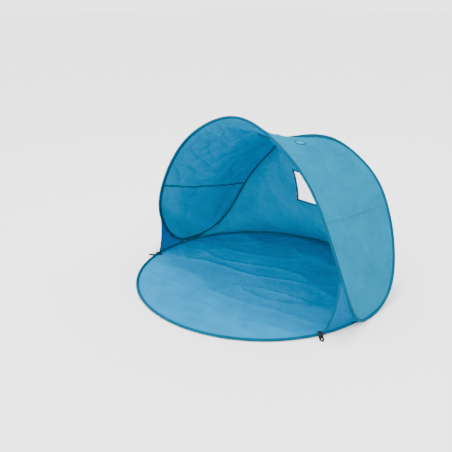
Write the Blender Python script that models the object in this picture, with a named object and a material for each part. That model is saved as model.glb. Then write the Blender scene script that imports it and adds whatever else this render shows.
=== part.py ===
"""Pop up beach shelter: a groundsheet in a spring hoop, under a canopy in a second, saddle-shaped hoop.

Axes: +X to the right, seen from in front, +Y from the open front to the back wall, +Z up.
The origin is on the ground, below the middle of the floor hoop. All lengths are in metres.
"""

import math

import bmesh
import bpy
import numpy as np

# --- Driving dimensions -------------------------------------------------------------------------
FLOOR_WIDTH = 1.50  # floor hoop, side to side, between centre lines
FLOOR_DEPTH = 1.43  # floor hoop, front to back, between centre lines
CANOPY_HEIGHT = 1.00  # ground to the centre line of the canopy hoop at its front crown

WIRE_DIAMETER = 0.0038  # spring wire of both hoops
SLEEVE_DIAMETER = 0.016  # outside of the fabric sleeves that the wires run in
SLEEVE_WALL = 0.0012
SLEEVE_SLOT = 0.0050  # width of the sleeve's sewn-in slot, where the panels' edges enter
FERRULE_LENGTH = 0.034  # steel tube that joins the two ends of a wire
FERRULE_WALL = 0.0007
WIRE_END_GAP = 0.0010
FOLD_AXIS_PLACE = -0.15  # the canopy folds back about a line across the ears' bottoms, in floor half depths

SHEET_THICKNESS = 0.0010  # groundsheet
PANEL_THICKNESS = 0.0010  # canopy, back wall and gussets
TAPE_THICKNESS = 0.0008
WEBBING_THICKNESS = 0.0016

SEAM_TAPE_WIDTH = 0.014
HEM_WIDTH = 0.012
WINDOW_WIDTH = 0.22
WINDOW_HEIGHT = 0.225  # along the wall
WINDOW_SILL = 0.362  # height of the window's lower edge above the ground
BINDING_WIDTH = 0.014
SEAM_HEIGHTS = {"right": (0.575, 0.490), "left": (0.464, 0.370)}  # of each ear's seam, front and back
SEAM_SAG = 0.018  # of each seam between its ends
LEFT_ARCH_SAG = 0.060  # how much lower the back arch stands on its left than on its right
ROOF_PATCH_DIAMETER = 0.062
ROOF_PATCH_SIDE = 0.238  # its centre, to the right of the crown
ROOF_PATCH_BACK = 0.57  # and across the roof, from 0, front hoop, to 1, back hoop
PEG_LOOP_WIDTH = 0.025
PEG_LOOP_REACH = 0.034  # straight part outside the hoop
PEG_LOOP_POINT = 0.012  # length of the folded, pointed end
PEG_LOOP_INSIDE = 0.014  # sewn end, on the groundsheet's rim
PEG_EYE_WIDTH = 0.011
PEG_EYE_START = 0.006  # from the hoop to the eye
PEG_TIP_SHARE = 0.22  # width of the pointed end, of the strap's
PEG_LOOP_TURN = math.radians(39)  # the peg loops' pull, from straight sideways
PEG_LOOP_PLACE = math.radians(19.5)  # round the floor hoop, from its widest point
REAR_PEG_LOOP_PLACE = math.radians(62)
PEG_START_ON_SLEEVE = math.radians(60)  # a rear loop is sewn to the sleeve's outer side from here down
GUSSET_APEX_STEPS = 6  # steps of the canopy hoop from the ear's bottom corner up to the gusset's top
GUSSET_SWAY = 0.022  # how far the gusset's free edge curves in
GUSSET_APEX_WIDTH = 0.018
HINGE_TAB_LENGTH = 0.10  # stitched tab that joins the two hoops beside each ear
HINGE_TAB_HOOP_RISE = 0.010  # the tab lies where the canopy hoop is no higher than this above the floor hoop
HINGE_TAB_ON_FLOOR_SLEEVE = (math.radians(115), math.radians(80))  # where it lies round each sleeve
HINGE_TAB_ON_CANOPY_SLEEVE = (math.radians(140), math.radians(118))

CLEARANCE = 0.0004  # between pieces that touch
EDGE_CLEARANCE = 0.0010  # between a panel's edge and the sleeve that it is sewn to
BINDING_CLEARANCE = 0.0009  # between the window's binding and the curved wall
HOOP_CLEARANCE = 0.0020  # between the two hoops' sleeves, where they lie side by side

FLOOR_SLOT_DIP = math.radians(28)  # how far the floor sleeve's slot looks down, to the groundsheet
RIM_FLAT_FROM = 0.045  # distance from the floor hoop at which the groundsheet has come down to the ground
WALL_CORNER_HEIGHT = 0.020  # of the canopy hoop where the back wall starts, above the floor hoop
WALL_CORNER_LEAD = 0.100  # how far the wall's bottom corner is ahead of that place
MOST_LINE_SHIFT = 0.45  # of a grid line that is moved onto the window's edge, in steps
GUSSET_CORNER_HEIGHT = 0.016  # of the canopy hoop where the gusset starts, above the floor hoop

# --- How finely the shapes are drawn ------------------------------------------------------------
CANOPY_STEPS = 128  # along the canopy hoop, all round
EAR_STEPS = 8  # across an ear's bottom, and so across the canopy
FLOOR_STEPS = 96
WIRE_SIDES = 6
SLEEVE_SIDES = 9
ROOF_PATCH_SIDES = 24
WALL_COLUMNS = 16  # across the back wall
GUSSET_COLUMNS = 4
HINGE_TAB_ROWS = 6
PEG_BEND_STEP = math.radians(30)  # between the bends of a peg loop where it goes over the hoop
SLOT_ROUNDS = 6  # of smoothing the way that the canopy sleeve's slot looks
SEAM_REACH = 8  # rows above a seam that are moved along with it
SAG_STEPS = 16  # steps of the canopy hoop over which its left side stands lower
RELAX_ROUNDS = 400

# --- Derived sizes ------------------------------------------------------------------------------
HALF_WIDTH = FLOOR_WIDTH / 2
HALF_DEPTH = FLOOR_DEPTH / 2
WIRE_R = WIRE_DIAMETER / 2
SLEEVE_R = SLEEVE_DIAMETER / 2
EDGE_INSET = SLEEVE_R + EDGE_CLEARANCE
FOLD_AXIS_Y = FOLD_AXIS_PLACE * HALF_DEPTH
EAR_HALF_WIDTH = HALF_WIDTH + SLEEVE_DIAMETER + HOOP_CLEARANCE
QUARTER = CANOPY_STEPS // 4
HALF_LOOP = CANOPY_STEPS // 2
EAR_FRONT = QUARTER - EAR_STEPS // 2  # step of the canopy hoop at the ear's front bottom corner
EAR_BACK = QUARTER + EAR_STEPS // 2  # and at its back bottom corner
CANOPY_FERRULE_STEP = HALF_LOOP - 14  # on the right side of the back arch
FLOOR_FERRULE_STEP = FLOOR_STEPS // 4  # at the back, under the wall

# The right half of the canopy hoop, from its front crown down to the ground and up to its back crown:
# x in ear half widths, y in floor half depths, z in canopy heights.
CANOPY_OUTLINE = [
    (0.00, -0.20, 1.00),
    (0.39, -0.21, 0.91),
    (0.69, -0.22, 0.735),
    (0.91, -0.24, 0.475),
    (1.03, -0.18, 0.18),
    (1.02, -0.02, 0.02),
    (1.00, 0.20, 0.00),
    (0.95, 0.46, 0.08),
    (0.86, 0.61, 0.26),
    (0.725, 0.70, 0.465),
    (0.56, 0.755, 0.615),
    (0.41, 0.68, 0.745),
    (0.32, 0.48, 0.85),
    (0.245, 0.28, 0.88),
    (0.137, 0.15, 0.865),
    (0.00, 0.105, 0.855),
]

# --- Colours ------------------------------------------------------------------------------------
TURQUOISE = (0.05, 0.36, 0.66, 1.0)
SKY_BLUE = (0.11, 0.46, 0.74, 1.0)
DARK_BLUE = (0.02, 0.20, 0.38, 1.0)
BLACK = (0.012, 0.012, 0.014, 1.0)
STEEL = (0.42, 0.43, 0.45, 1.0)
CLEAR = (0.85, 0.90, 0.93, 1.0)


def clear_scene():
    for obj in list(bpy.data.objects):
        bpy.data.objects.remove(obj, do_unlink=True)


def make_material(name, color, roughness, metallic=0.0):
    mat = bpy.data.materials.new(name)
    mat.use_nodes = True
    shader = mat.node_tree.nodes["Principled BSDF"]
    shader.inputs["Base Color"].default_value = color
    shader.inputs["Roughness"].default_value = roughness
    shader.inputs["Metallic"].default_value = metallic
    return mat


def add_object(name, bm, material, parent=None, smooth_angle=math.radians(35)):
    if bm.calc_volume(signed=True) < 0:
        bmesh.ops.reverse_faces(bm, faces=bm.faces)
    mesh = bpy.data.meshes.new(name)
    bm.to_mesh(mesh)
    bm.free()
    mesh.shade_smooth()
    mesh.set_sharp_from_angle(angle=smooth_angle)
    mesh.materials.append(material)
    obj = bpy.data.objects.new(name, mesh)
    bpy.context.scene.collection.objects.link(obj)
    if parent is not None:
        obj.parent = parent
        obj.matrix_parent_inverse = parent.matrix_world.inverted()
    return obj


# --- Curves and frames --------------------------------------------------------------------------
def unit(vectors):
    vectors = np.asarray(vectors, float)
    return vectors / np.linalg.norm(vectors, axis=-1, keepdims=True)


def square_to(vectors, tangents):
    """The part of each vector that is square to its tangent, at unit length."""
    along = np.sum(vectors * tangents, axis=-1, keepdims=True)
    return unit(vectors - along * tangents)


def spring_curve(points, steps):
    """A closed cubic spline through the points, in steps of equal length: the line a spring wire takes."""
    points = np.asarray(points, float)
    count = len(points)
    span = np.linalg.norm(np.roll(points, -1, axis=0) - points, axis=1)
    before = np.roll(span, 1)
    rows = np.zeros((count, count))
    right = np.zeros((count, 3))
    for k in range(count):
        rows[k, k - 1] = span[k]
        rows[k, k] = 2 * (span[k] + before[k])
        rows[k, (k + 1) % count] = before[k]
        ahead = (points[(k + 1) % count] - points[k]) / span[k]
        behind = (points[k] - points[k - 1]) / before[k]
        right[k] = 3 * (span[k] * behind + before[k] * ahead)
    slope = np.linalg.solve(rows, right)
    fine = []
    per_span = 40
    for k in range(count):
        a, b = points[k], points[(k + 1) % count]
        da, db = slope[k] * span[k], slope[(k + 1) % count] * span[k]
        for t in np.arange(per_span) / per_span:
            fine.append(
                (2 * t**3 - 3 * t**2 + 1) * a
                + (t**3 - 2 * t**2 + t) * da
                + (3 * t**2 - 2 * t**3) * b
                + (t**3 - t**2) * db
            )
    fine = np.array(fine + [fine[0]])
    length = np.concatenate([[0], np.cumsum(np.linalg.norm(np.diff(fine, axis=0), axis=1))])
    places = np.arange(steps) * length[-1] / steps
    return np.stack([np.interp(places, length, fine[:, axis]) for axis in range(3)], axis=1)


def canopy_loop():
    """Centre line of the canopy hoop. It starts at the front crown and goes down its right side first."""
    lift = CANOPY_HEIGHT - SLEEVE_R
    right = [(x * EAR_HALF_WIDTH, y * HALF_DEPTH, SLEEVE_R + z * lift) for x, y, z in CANOPY_OUTLINE]
    left = [(-x, y, z) for x, y, z in right[-2:0:-1]]
    loop = spring_curve(right + left, CANOPY_STEPS)
    sag = np.sin(math.pi * np.arange(SAG_STEPS) / SAG_STEPS) ** 2
    loop[HALF_LOOP: HALF_LOOP + SAG_STEPS, 2] -= LEFT_ARCH_SAG * sag
    loop[:, 2] = np.maximum(loop[:, 2], SLEEVE_R)  # it lies on the ground where it would dip below
    return loop


def floor_point(angle, outwards=0.0, height=None):
    """A point on the floor hoop's centre line, or outwards of it. Angle 0 is at +X."""
    point = np.array([HALF_WIDTH * math.cos(angle), HALF_DEPTH * math.sin(angle), SLEEVE_R])
    normal = unit([math.cos(angle) / HALF_WIDTH, math.sin(angle) / HALF_DEPTH, 0.0])
    point = point + outwards * normal
    if height is not None:
        point[2] = height
    return point


def floor_loop():
    turn = 2 * math.pi / FLOOR_STEPS
    return np.array([floor_point(k * turn) for k in range(FLOOR_STEPS)])


def tangents_of(loop):
    return unit(np.roll(loop, -1, axis=0) - np.roll(loop, 1, axis=0))


# --- Solids from swept rings and grids ----------------------------------------------------------
def sweep(rings, closed):
    """A closed solid through rings of points; the ends are capped unless the sweep is closed."""
    bm = bmesh.new()
    verts = [[bm.verts.new(p) for p in ring] for ring in rings]
    count, sides = len(verts), len(verts[0])
    for k in range(count if closed else count - 1):
        a, b = verts[k], verts[(k + 1) % count]
        for s in range(sides):
            t = (s + 1) % sides
            bm.faces.new((a[s], b[s], b[t], a[t]))
    if not closed:
        bm.faces.new(verts[0])
        bm.faces.new(verts[-1][::-1])
    return bm


def round_rings(line, tangents, side, radius, sides):
    side = square_to(side, tangents)
    up = np.cross(tangents, side)
    turn = 2 * math.pi * np.arange(sides) / sides
    return [
        p + radius * (np.outer(np.cos(turn), s) + np.outer(np.sin(turn), u))
        for p, s, u in zip(line, side, up)
    ]


def sleeve_rings(loop, slot_way):
    """Rings of a slit tube: the slot looks along slot_way, towards the panel that is sewn in."""
    tangents = tangents_of(loop)
    side = square_to(slot_way, tangents)
    up = np.cross(tangents, side)
    half_slot = math.asin(SLEEVE_SLOT / 2 / SLEEVE_R)
    turn = np.linspace(half_slot, 2 * math.pi - half_slot, SLEEVE_SIDES)
    inner = SLEEVE_R - SLEEVE_WALL
    profile = [(SLEEVE_R * math.cos(a), SLEEVE_R * math.sin(a)) for a in turn]
    profile += [(inner * math.cos(a), inner * math.sin(a)) for a in turn[::-1]]
    return [[p + a * s + b * u for a, b in profile] for p, s, u in zip(loop, side, up)]


def normals_of(grid):
    along = np.gradient(grid, axis=0)
    across = np.gradient(grid, axis=1)
    return unit(np.cross(along, across))


def sheet_solid(grid, thickness, keep=None, lift=0.0, normals=None):
    """A closed solid of the given thickness round a grid of points; keep says which cells exist."""
    normals = normals_of(grid) if normals is None else normals
    if keep is None:
        keep = np.ones((grid.shape[0] - 1, grid.shape[1] - 1), bool)
    sides = [grid + (lift + half * thickness / 2) * normals for half in (1, -1)]
    falling = np.linalg.norm(grid[1:, 1:] - grid[:-1, :-1], axis=2)
    rising = np.linalg.norm(grid[:-1, 1:] - grid[1:, :-1], axis=2)
    straight = falling <= rising  # both skins are cut along the same, shorter diagonal
    bm = bmesh.new()
    made = [{}, {}]

    def vert(side, i, j):
        if (i, j) not in made[side]:
            made[side][i, j] = bm.verts.new(sides[side][i, j])
        return made[side][i, j]

    def exists(i, j):
        return 0 <= i < keep.shape[0] and 0 <= j < keep.shape[1] and keep[i, j]

    for i in range(keep.shape[0]):
        for j in range(keep.shape[1]):
            if not keep[i, j]:
                continue
            corners = [(i, j), (i + 1, j), (i + 1, j + 1), (i, j + 1)]
            halves = ((0, 1, 2), (0, 2, 3)) if straight[i, j] else ((0, 1, 3), (1, 2, 3))
            for half in halves:
                bm.faces.new([vert(0, *corners[k]) for k in half])
                bm.faces.new([vert(1, *corners[k]) for k in reversed(half)])
            beyond = [(i, j - 1), (i + 1, j), (i, j + 1), (i - 1, j)]
            for k, cell in enumerate(beyond):
                if not exists(*cell):
                    a, b = corners[k], corners[(k + 1) % 4]
                    bm.faces.new((vert(0, *b), vert(0, *a), vert(1, *a), vert(1, *b)))
    return bm


def film(first, last, start, end):
    """A soap film over a frame of four edges. first and last run the same way; start and end join them."""
    rows, columns = len(first), len(start)
    grid = np.zeros((rows, columns, 3))
    u = np.linspace(0, 1, rows)[:, None, None]
    v = np.linspace(0, 1, columns)[None, :, None]
    grid += (1 - v) * first[:, None] + v * last[:, None]
    grid += (1 - u) * start[None] + u * end[None]
    grid -= (1 - u) * (1 - v) * first[0] + u * (1 - v) * first[-1]
    grid -= (1 - u) * v * last[0] + u * v * last[-1]
    return relax(grid)


def relax(grid):
    grid = grid.copy()
    for _ in range(RELAX_ROUNDS):
        around = grid[:-2, 1:-1] + grid[2:, 1:-1] + grid[1:-1, :-2] + grid[1:-1, 2:]
        grid[1:-1, 1:-1] = around / 4
    return grid


def inset_edges(grid, inset):
    """The grid with its edges drawn in from the hoops' centre lines, then relaxed again.

    inset gives the distance at the first row, last row, first column and last column."""
    out = grid.copy()
    first_row, last_row, first_column, last_column = inset
    step_in = [
        (np.s_[0, :], grid[1] - grid[0], np.gradient(grid[0], axis=0), first_row),
        (np.s_[-1, :], grid[-2] - grid[-1], np.gradient(grid[-1], axis=0), last_row),
        (np.s_[:, 0], grid[:, 1] - grid[:, 0], np.gradient(grid[:, 0], axis=0), first_column),
        (np.s_[:, -1], grid[:, -2] - grid[:, -1], np.gradient(grid[:, -1], axis=0), last_column),
    ]
    for where, inwards, edge, distance in step_in:
        if distance:
            out[where] += distance * square_to(inwards, unit(edge))
    return relax(out)


def lerp(a, b, share):
    return a + (b - a) * share


def at(grid, i, j):
    """The point of a grid at fractional row i and column j."""
    i = min(max(i, 0), grid.shape[0] - 1 - 1e-9)
    j = min(max(j, 0), grid.shape[1] - 1 - 1e-9)
    r, c = int(i), int(j)
    low = lerp(grid[r, c], grid[r, c + 1], j - c)
    high = lerp(grid[r + 1, c], grid[r + 1, c + 1], j - c)
    return lerp(low, high, i - r)


# --- Hoops --------------------------------------------------------------------------------------
def make_hoop(name, loop, slot_way, joint_step, materials, parent):
    """A spring wire whose two ends meet in a ferrule, inside a fabric sleeve."""
    rolled = np.roll(loop, -joint_step - 1, axis=0)
    side = np.roll(slot_way, -joint_step - 1, axis=0)
    middle = (rolled[-1] + rolled[0]) / 2
    along = unit(rolled[0] - rolled[-1])
    line = np.vstack([middle + along * WIRE_END_GAP / 2, rolled, middle - along * WIRE_END_GAP / 2])
    tangents = unit(np.gradient(line, axis=0))
    side = np.vstack([side[0], side, side[-1]])
    wire = sweep(round_rings(line, tangents, side, WIRE_R, WIRE_SIDES), closed=False)
    add_object(f"{name}_wire", wire, materials["steel"], parent)

    inner = WIRE_R / math.cos(math.pi / WIRE_SIDES) + CLEARANCE
    ends = np.array([middle - along * FERRULE_LENGTH / 2, middle + along * FERRULE_LENGTH / 2])
    way = np.array([along, along])
    across = np.array([side[0], side[0]])
    bore = round_rings(ends, way, across, inner, 2 * WIRE_SIDES)
    wall = round_rings(ends, way, across, inner + FERRULE_WALL, 2 * WIRE_SIDES)
    ferrule = sweep([wall[0], wall[1], bore[1], bore[0]], closed=True)
    add_object(f"{name}_ferrule", ferrule, materials["steel"], parent)

    sleeve = sweep(sleeve_rings(loop, slot_way), closed=True)
    add_object(f"{name}_sleeve", sleeve, materials["sleeve"], parent)


# --- Ground -------------------------------------------------------------------------------------
def make_groundsheet(materials):
    """A round sheet that lies on the ground and rises at its rim to the slot in the floor sleeve."""
    turn = 2 * math.pi / FLOOR_STEPS
    rim_inset = EDGE_INSET * math.cos(FLOOR_SLOT_DIP)
    rim_height = SLEEVE_R - EDGE_INSET * math.sin(FLOOR_SLOT_DIP) - SHEET_THICKNESS / 2
    outlines = [(rim_inset, rim_height), (RIM_FLAT_FROM, 0.0)]
    bm = bmesh.new()
    layers = []
    for thick in (0.0, SHEET_THICKNESS):
        for inset, height in outlines:
            ring = [floor_point(k * turn, -inset, height + thick) for k in range(FLOOR_STEPS)]
            layers.append([bm.verts.new(point) for point in ring])
    low_rim, low, high_rim, high = layers
    bm.faces.new(low[::-1])
    bm.faces.new(high)
    for k in range(FLOOR_STEPS):
        m = (k + 1) % FLOOR_STEPS
        bm.faces.new((low_rim[k], low[k], low[m], low_rim[m]))
        bm.faces.new((high_rim[k], high_rim[m], high[m], high[k]))
        bm.faces.new((low_rim[k], low_rim[m], high_rim[m], high_rim[k]))
    bmesh.ops.triangulate(bm, faces=bm.faces)
    add_object("groundsheet", bm, materials["floor"])


def make_peg_loop(name, angle, turn, over_hoop, materials):
    """A webbing strap that ends in a pointed eye outside the hoop.

    With over_hoop it runs over the sleeve from the groundsheet; else it starts on the sleeve's outer side."""
    middle = floor_point(angle)
    normal = unit([math.cos(angle) / HALF_WIDTH, math.sin(angle) / HALF_DEPTH, 0.0])
    pull = np.array([math.cos(turn), math.sin(turn), 0.0])
    slant = float(pull @ normal)  # the strap crosses the hoop at a slant, which stretches its profile
    over = SLEEVE_R + 2 * CLEARANCE + WEBBING_THICKNESS / 2
    over = over / math.cos(PEG_BEND_STEP / 2)  # the flats between its bends stay clear of the sleeve
    on_sheet = SLEEVE_R - EDGE_INSET * math.sin(FLOOR_SLOT_DIP) + SHEET_THICKNESS + 2 * CLEARANCE
    on_sheet += WEBBING_THICKNESS / 2
    on_ground = WEBBING_THICKNESS / 2
    half = PEG_LOOP_WIDTH / 2
    side = np.array([-pull[1], pull[0], 0.0])
    spread = half * abs(float(side @ normal))  # how far the strap's corners wander across the hoop
    flank = over + spread + CLEARANCE
    bend = math.pi if over_hoop else PEG_START_ON_SLEEVE
    arc = np.linspace(bend, 0.0, round(bend / PEG_BEND_STEP) + 1)
    path = [(-flank - PEG_LOOP_INSIDE, on_sheet), (-flank, on_sheet)] if over_hoop else []
    for a in arc:
        sideways = spread * np.sign(round(math.cos(a), 3))
        path.append((math.cos(a) * over + sideways, SLEEVE_R + math.sin(a) * over))
    eye_start = flank + PEG_EYE_START
    eye_end = flank + PEG_LOOP_REACH
    tip = eye_end + PEG_LOOP_POINT
    path += [(flank, on_ground), (eye_start, on_ground), (eye_end, on_ground), (tip, on_ground)]
    half_widths = [half] * (len(path) - 1) + [half * PEG_TIP_SHARE]
    eye = PEG_EYE_WIDTH / 2
    grid = []
    for k, ((out, height), wide) in enumerate(zip(path, half_widths)):
        hole = eye if k < len(path) - 1 else wide / 2  # the tip is narrower than the eye
        base = middle + pull * (out / slant)
        grid.append([[*(base + side * w)[:2], height] for w in (-wide, -hole, hole, wide)])
    grid = np.array(grid)
    keep = np.ones((len(path) - 1, 3), bool)
    keep[len(path) - 3, 1] = False
    bm = sheet_solid(grid, WEBBING_THICKNESS, keep)
    for v in bm.verts:
        v.co.z = max(v.co.z, 0.0)  # the ground presses its bends flat
    add_object(name, bm, materials["webbing"])


def make_hinge_tab(name, side, loop, materials):
    """A stitched fabric tab across the two sleeves beside the ear, which holds the hoops together."""
    right = loop[:HALF_LOOP]
    low = right[right[:, 2] < SLEEVE_R + HINGE_TAB_HOOP_RISE]
    low = low[np.argsort(low[:, 1])]
    middle = (low[0, 1] + low[-1, 1]) / 2
    lay = SLEEVE_R + 2 * CLEARANCE + TAPE_THICKNESS / 2
    grid = []
    for y in np.linspace(middle - HINGE_TAB_LENGTH / 2, middle + HINGE_TAB_LENGTH / 2, HINGE_TAB_ROWS):
        inner = floor_point(math.asin(y / HALF_DEPTH))
        outer = np.array([np.interp(y, low[:, 1], low[:, axis]) for axis in range(3)])
        row = [inner + lay * np.array([math.cos(a), 0, math.sin(a)]) for a in HINGE_TAB_ON_FLOOR_SLEEVE]
        row += [outer + lay * np.array([math.cos(a), 0, math.sin(a)]) for a in HINGE_TAB_ON_CANOPY_SLEEVE]
        grid.append([[side * x, y, z] for x, _, z in row])
    add_object(name, sheet_solid(np.array(grid), TAPE_THICKNESS), materials["sleeve"])


# --- Canopy -------------------------------------------------------------------------------------
def canopy_film(loop):
    """The canopy's whole surface, in rows from the right ear's bottom over the crown to the left ear's."""
    last = CANOPY_STEPS - EAR_FRONT
    front = np.vstack([loop[EAR_FRONT::-1], loop[:last - 1:-1]])
    back = loop[EAR_BACK: CANOPY_STEPS - EAR_BACK + 1]
    right = loop[EAR_FRONT: EAR_BACK + 1]
    left = loop[CANOPY_STEPS - EAR_BACK: last + 1][::-1]
    return film(front, back, right, left)


def canopy_slots(loop, grid):
    """For each step of the canopy hoop, the way towards the canopy's surface."""
    ways = np.zeros_like(loop)
    rows = grid.shape[0]
    for k in range(rows):
        front = (EAR_FRONT - k) % CANOPY_STEPS
        ways[front] = grid[k, 1] - grid[k, 0]
        ways[EAR_BACK + k] = grid[k, -2] - grid[k, -1]
    for k in range(1, EAR_STEPS):
        ways[EAR_FRONT + k] = grid[1, k] - grid[0, k]
        ways[CANOPY_STEPS - EAR_FRONT - k] = grid[-2, k] - grid[-1, k]
    ways = unit(ways)
    for _ in range(SLOT_ROUNDS):
        ways = unit(np.roll(ways, 1, axis=0) + 2 * ways + np.roll(ways, -1, axis=0))
    return ways


def seam_rows(grid, side):
    """For each column of the canopy's grid, the row at which the ear's seam crosses it."""
    front, back = SEAM_HEIGHTS[side]
    share = np.linspace(0, 1, grid.shape[1])
    heights = lerp(front, back, share) - SEAM_SAG * 4 * share * (1 - share)
    climb = grid[: grid.shape[0] // 2, :, 2] if side == "right" else grid[: grid.shape[0] // 2: -1, :, 2]
    rows = np.array([np.interp(h, climb[:, j], np.arange(len(climb))) for j, h in enumerate(heights)])
    return rows if side == "right" else grid.shape[0] - 1 - rows


def with_seams(grid):
    """The canopy's grid with a row moved onto each ear's seam, and which rows those are."""
    last = grid.shape[0] - 1
    places = np.tile(np.arange(last + 1.0)[:, None], (1, grid.shape[1]))
    seams = {}
    for side in ("right", "left"):
        rows = seam_rows(grid, side)
        seam = int(round(rows.mean()))
        ends = (0, seam + SEAM_REACH) if side == "right" else (seam - SEAM_REACH, last)
        share = np.interp(np.arange(last + 1.0), [ends[0], seam, ends[1]], [0.0, 1.0, 0.0])
        places += share[:, None] * (rows - seam)[None, :]
        seams[side] = seam
    moved = [[at(grid, places[i, j], j) for j in range(grid.shape[1])] for i in range(last + 1)]
    return np.array(moved), seams


def make_canopy(loop, materials, parent):
    grid, seams = with_seams(inset_edges(canopy_film(loop), (EDGE_INSET,) * 4))
    normals = normals_of(grid)
    last = grid.shape[0] - 1
    spans = {
        "right_ear_panel": (0, seams["right"]),
        "roof_panel": (seams["right"], seams["left"]),
        "left_ear_panel": (seams["left"], last),
    }
    for name, (low, high) in spans.items():
        part = grid[low: high + 1].copy()
        if low > 0:
            part[0] += CLEARANCE * unit(part[1] - part[0])
        if high < last:
            part[-1] += CLEARANCE * unit(part[-2] - part[-1])
        solid = sheet_solid(part, PANEL_THICKNESS, normals=normals[low: high + 1])
        add_object(name, solid, materials["canopy"], parent)

    outside = 1 if normals[last // 2, EAR_STEPS // 2, 2] > 0 else -1
    lift = -outside * (PANEL_THICKNESS / 2 + 2 * CLEARANCE + TAPE_THICKNESS / 2)
    for side, row in seams.items():
        reach = SEAM_TAPE_WIDTH / 2
        below, above = unit(grid[row - 1] - grid[row]), unit(grid[row + 1] - grid[row])
        tape = np.stack([grid[row] + below * reach, grid[row], grid[row] + above * reach])
        solid = sheet_solid(tape, TAPE_THICKNESS, lift=lift, normals=np.stack([normals[row]] * 3))
        add_object(f"{side}_seam_tape", solid, materials["canopy"], parent)
    make_roof_patch(grid, normals, outside, materials, parent)


def make_roof_patch(grid, normals, outside, materials, parent):
    """A round reinforcement sewn on top of the roof."""
    column = EAR_STEPS * ROOF_PATCH_BACK
    half = grid.shape[0] // 2
    sideways = np.array([at(grid, i, column)[0] for i in range(half)])
    row = float(np.interp(-ROOF_PATCH_SIDE, -sideways, np.arange(half)))
    row_step = np.linalg.norm(at(grid, row + 0.5, column) - at(grid, row - 0.5, column))
    column_step = np.linalg.norm(at(grid, row, column + 0.5) - at(grid, row, column - 0.5))
    radius = ROOF_PATCH_DIAMETER / 2
    lift = outside * (PANEL_THICKNESS / 2 + 2 * CLEARANCE + TAPE_THICKNESS / 2)
    shares = (0.0, 0.5, 1.0)
    bm = bmesh.new()
    skins = []
    for face in (1, -1):
        offset = lift + face * TAPE_THICKNESS / 2
        rings = []
        for share in shares:
            ring = []
            for k in range(ROOF_PATCH_SIDES if share else 1):
                a = 2 * math.pi * k / ROOF_PATCH_SIDES
                i = row + share * radius * math.cos(a) / row_step
                j = column + share * radius * math.sin(a) / column_step
                ring.append(bm.verts.new(at(grid, i, j) + offset * at(normals, i, j)))
            rings.append(ring)
        skins.append(rings)
    top, under = skins
    for k in range(ROOF_PATCH_SIDES):
        m = (k + 1) % ROOF_PATCH_SIDES
        bm.faces.new((top[0][0], top[1][k], top[1][m]))
        bm.faces.new((under[0][0], under[1][m], under[1][k]))
        bm.faces.new((top[1][k], top[2][k], top[2][m], top[1][m]))
        bm.faces.new((under[1][m], under[2][m], under[2][k], under[1][k]))
        bm.faces.new((top[2][k], under[2][k], under[2][m], top[2][m]))
    bmesh.ops.triangulate(bm, faces=bm.faces)
    add_object("roof_patch", bm, materials["sleeve"], parent)


# --- Back wall and window -----------------------------------------------------------------------
def wall_film(loop):
    """The back wall's surface, in rows from the floor hoop up, columns from its right side to its left."""
    start = next(k for k in range(QUARTER, HALF_LOOP) if loop[k, 2] > SLEEVE_R + WALL_CORNER_HEIGHT)
    head = HALF_LOOP - WALL_COLUMNS // 2
    right = loop[start: head + 1]
    left = loop[CANOPY_STEPS - start: CANOPY_STEPS - head - 1: -1]
    top = loop[head: CANOPY_STEPS - head + 1]
    corner = math.asin(min(1.0, right[0, 1] / HALF_DEPTH)) - WALL_CORNER_LEAD / HALF_DEPTH
    angles = np.linspace(corner, math.pi - corner, WALL_COLUMNS + 1)
    bottom = np.array([floor_point(a, 0.0, SLEEVE_R + EDGE_INSET) for a in angles])
    right = np.vstack([bottom[0], right[1:]])
    left = np.vstack([bottom[-1], left[1:]])
    return film(right, left, bottom, top)


def wall_grid(loop):
    """The wall's grid with lines moved onto the window's edges, and the window's row and column numbers."""
    base = inset_edges(wall_film(loop), (0.0, EDGE_INSET, EDGE_INSET, EDGE_INSET))
    base[0, :, 2] = SLEEVE_R + EDGE_INSET
    middle = WALL_COLUMNS // 2
    rows = np.arange(base.shape[0])
    climb = base[:, middle]
    length = np.concatenate([[0.0], np.cumsum(np.linalg.norm(np.diff(climb, axis=0), axis=1))])
    sill = float(np.interp(WINDOW_SILL, climb[:, 2], rows))
    head = float(np.interp(np.interp(sill, rows, length) + WINDOW_HEIGHT, length, rows))
    r0, r1 = int(round(sill)), int(round(head))
    lines = rows.astype(float)
    lines[r0], lines[r1] = sill, head
    level = np.array([[at(base, i, j) for j in range(base.shape[1])] for i in lines])
    between = slice(r0, r1 + 1)
    columns = np.arange(base.shape[1])
    edge = np.array([np.interp(-WINDOW_WIDTH / 2, -row[:, 0], columns) for row in level])
    c0 = int(round(edge[between].mean()))
    edge = np.clip(edge, c0 - MOST_LINE_SHIFT, c0 + MOST_LINE_SHIFT)
    grid = level.copy()
    for i in range(len(level)):
        grid[i, c0] = at(level, i, edge[i])
        grid[i, -1 - c0] = at(level, i, columns[-1] - edge[i])
    return grid, (r0, r1, c0, WALL_COLUMNS - c0)


def regrid(grid, rows, columns):
    return np.array([[at(grid, i, j) for j in columns] for i in rows])


def edge_lines(low, high, reaches, length):
    """Grid places from low to high, whose outermost ones reach past or short of the window's edge."""
    first = [low + reach / length for reach in reaches]
    return first + list(range(low + 1, high)) + [high - reach / length for reach in reaches[::-1]]


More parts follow.
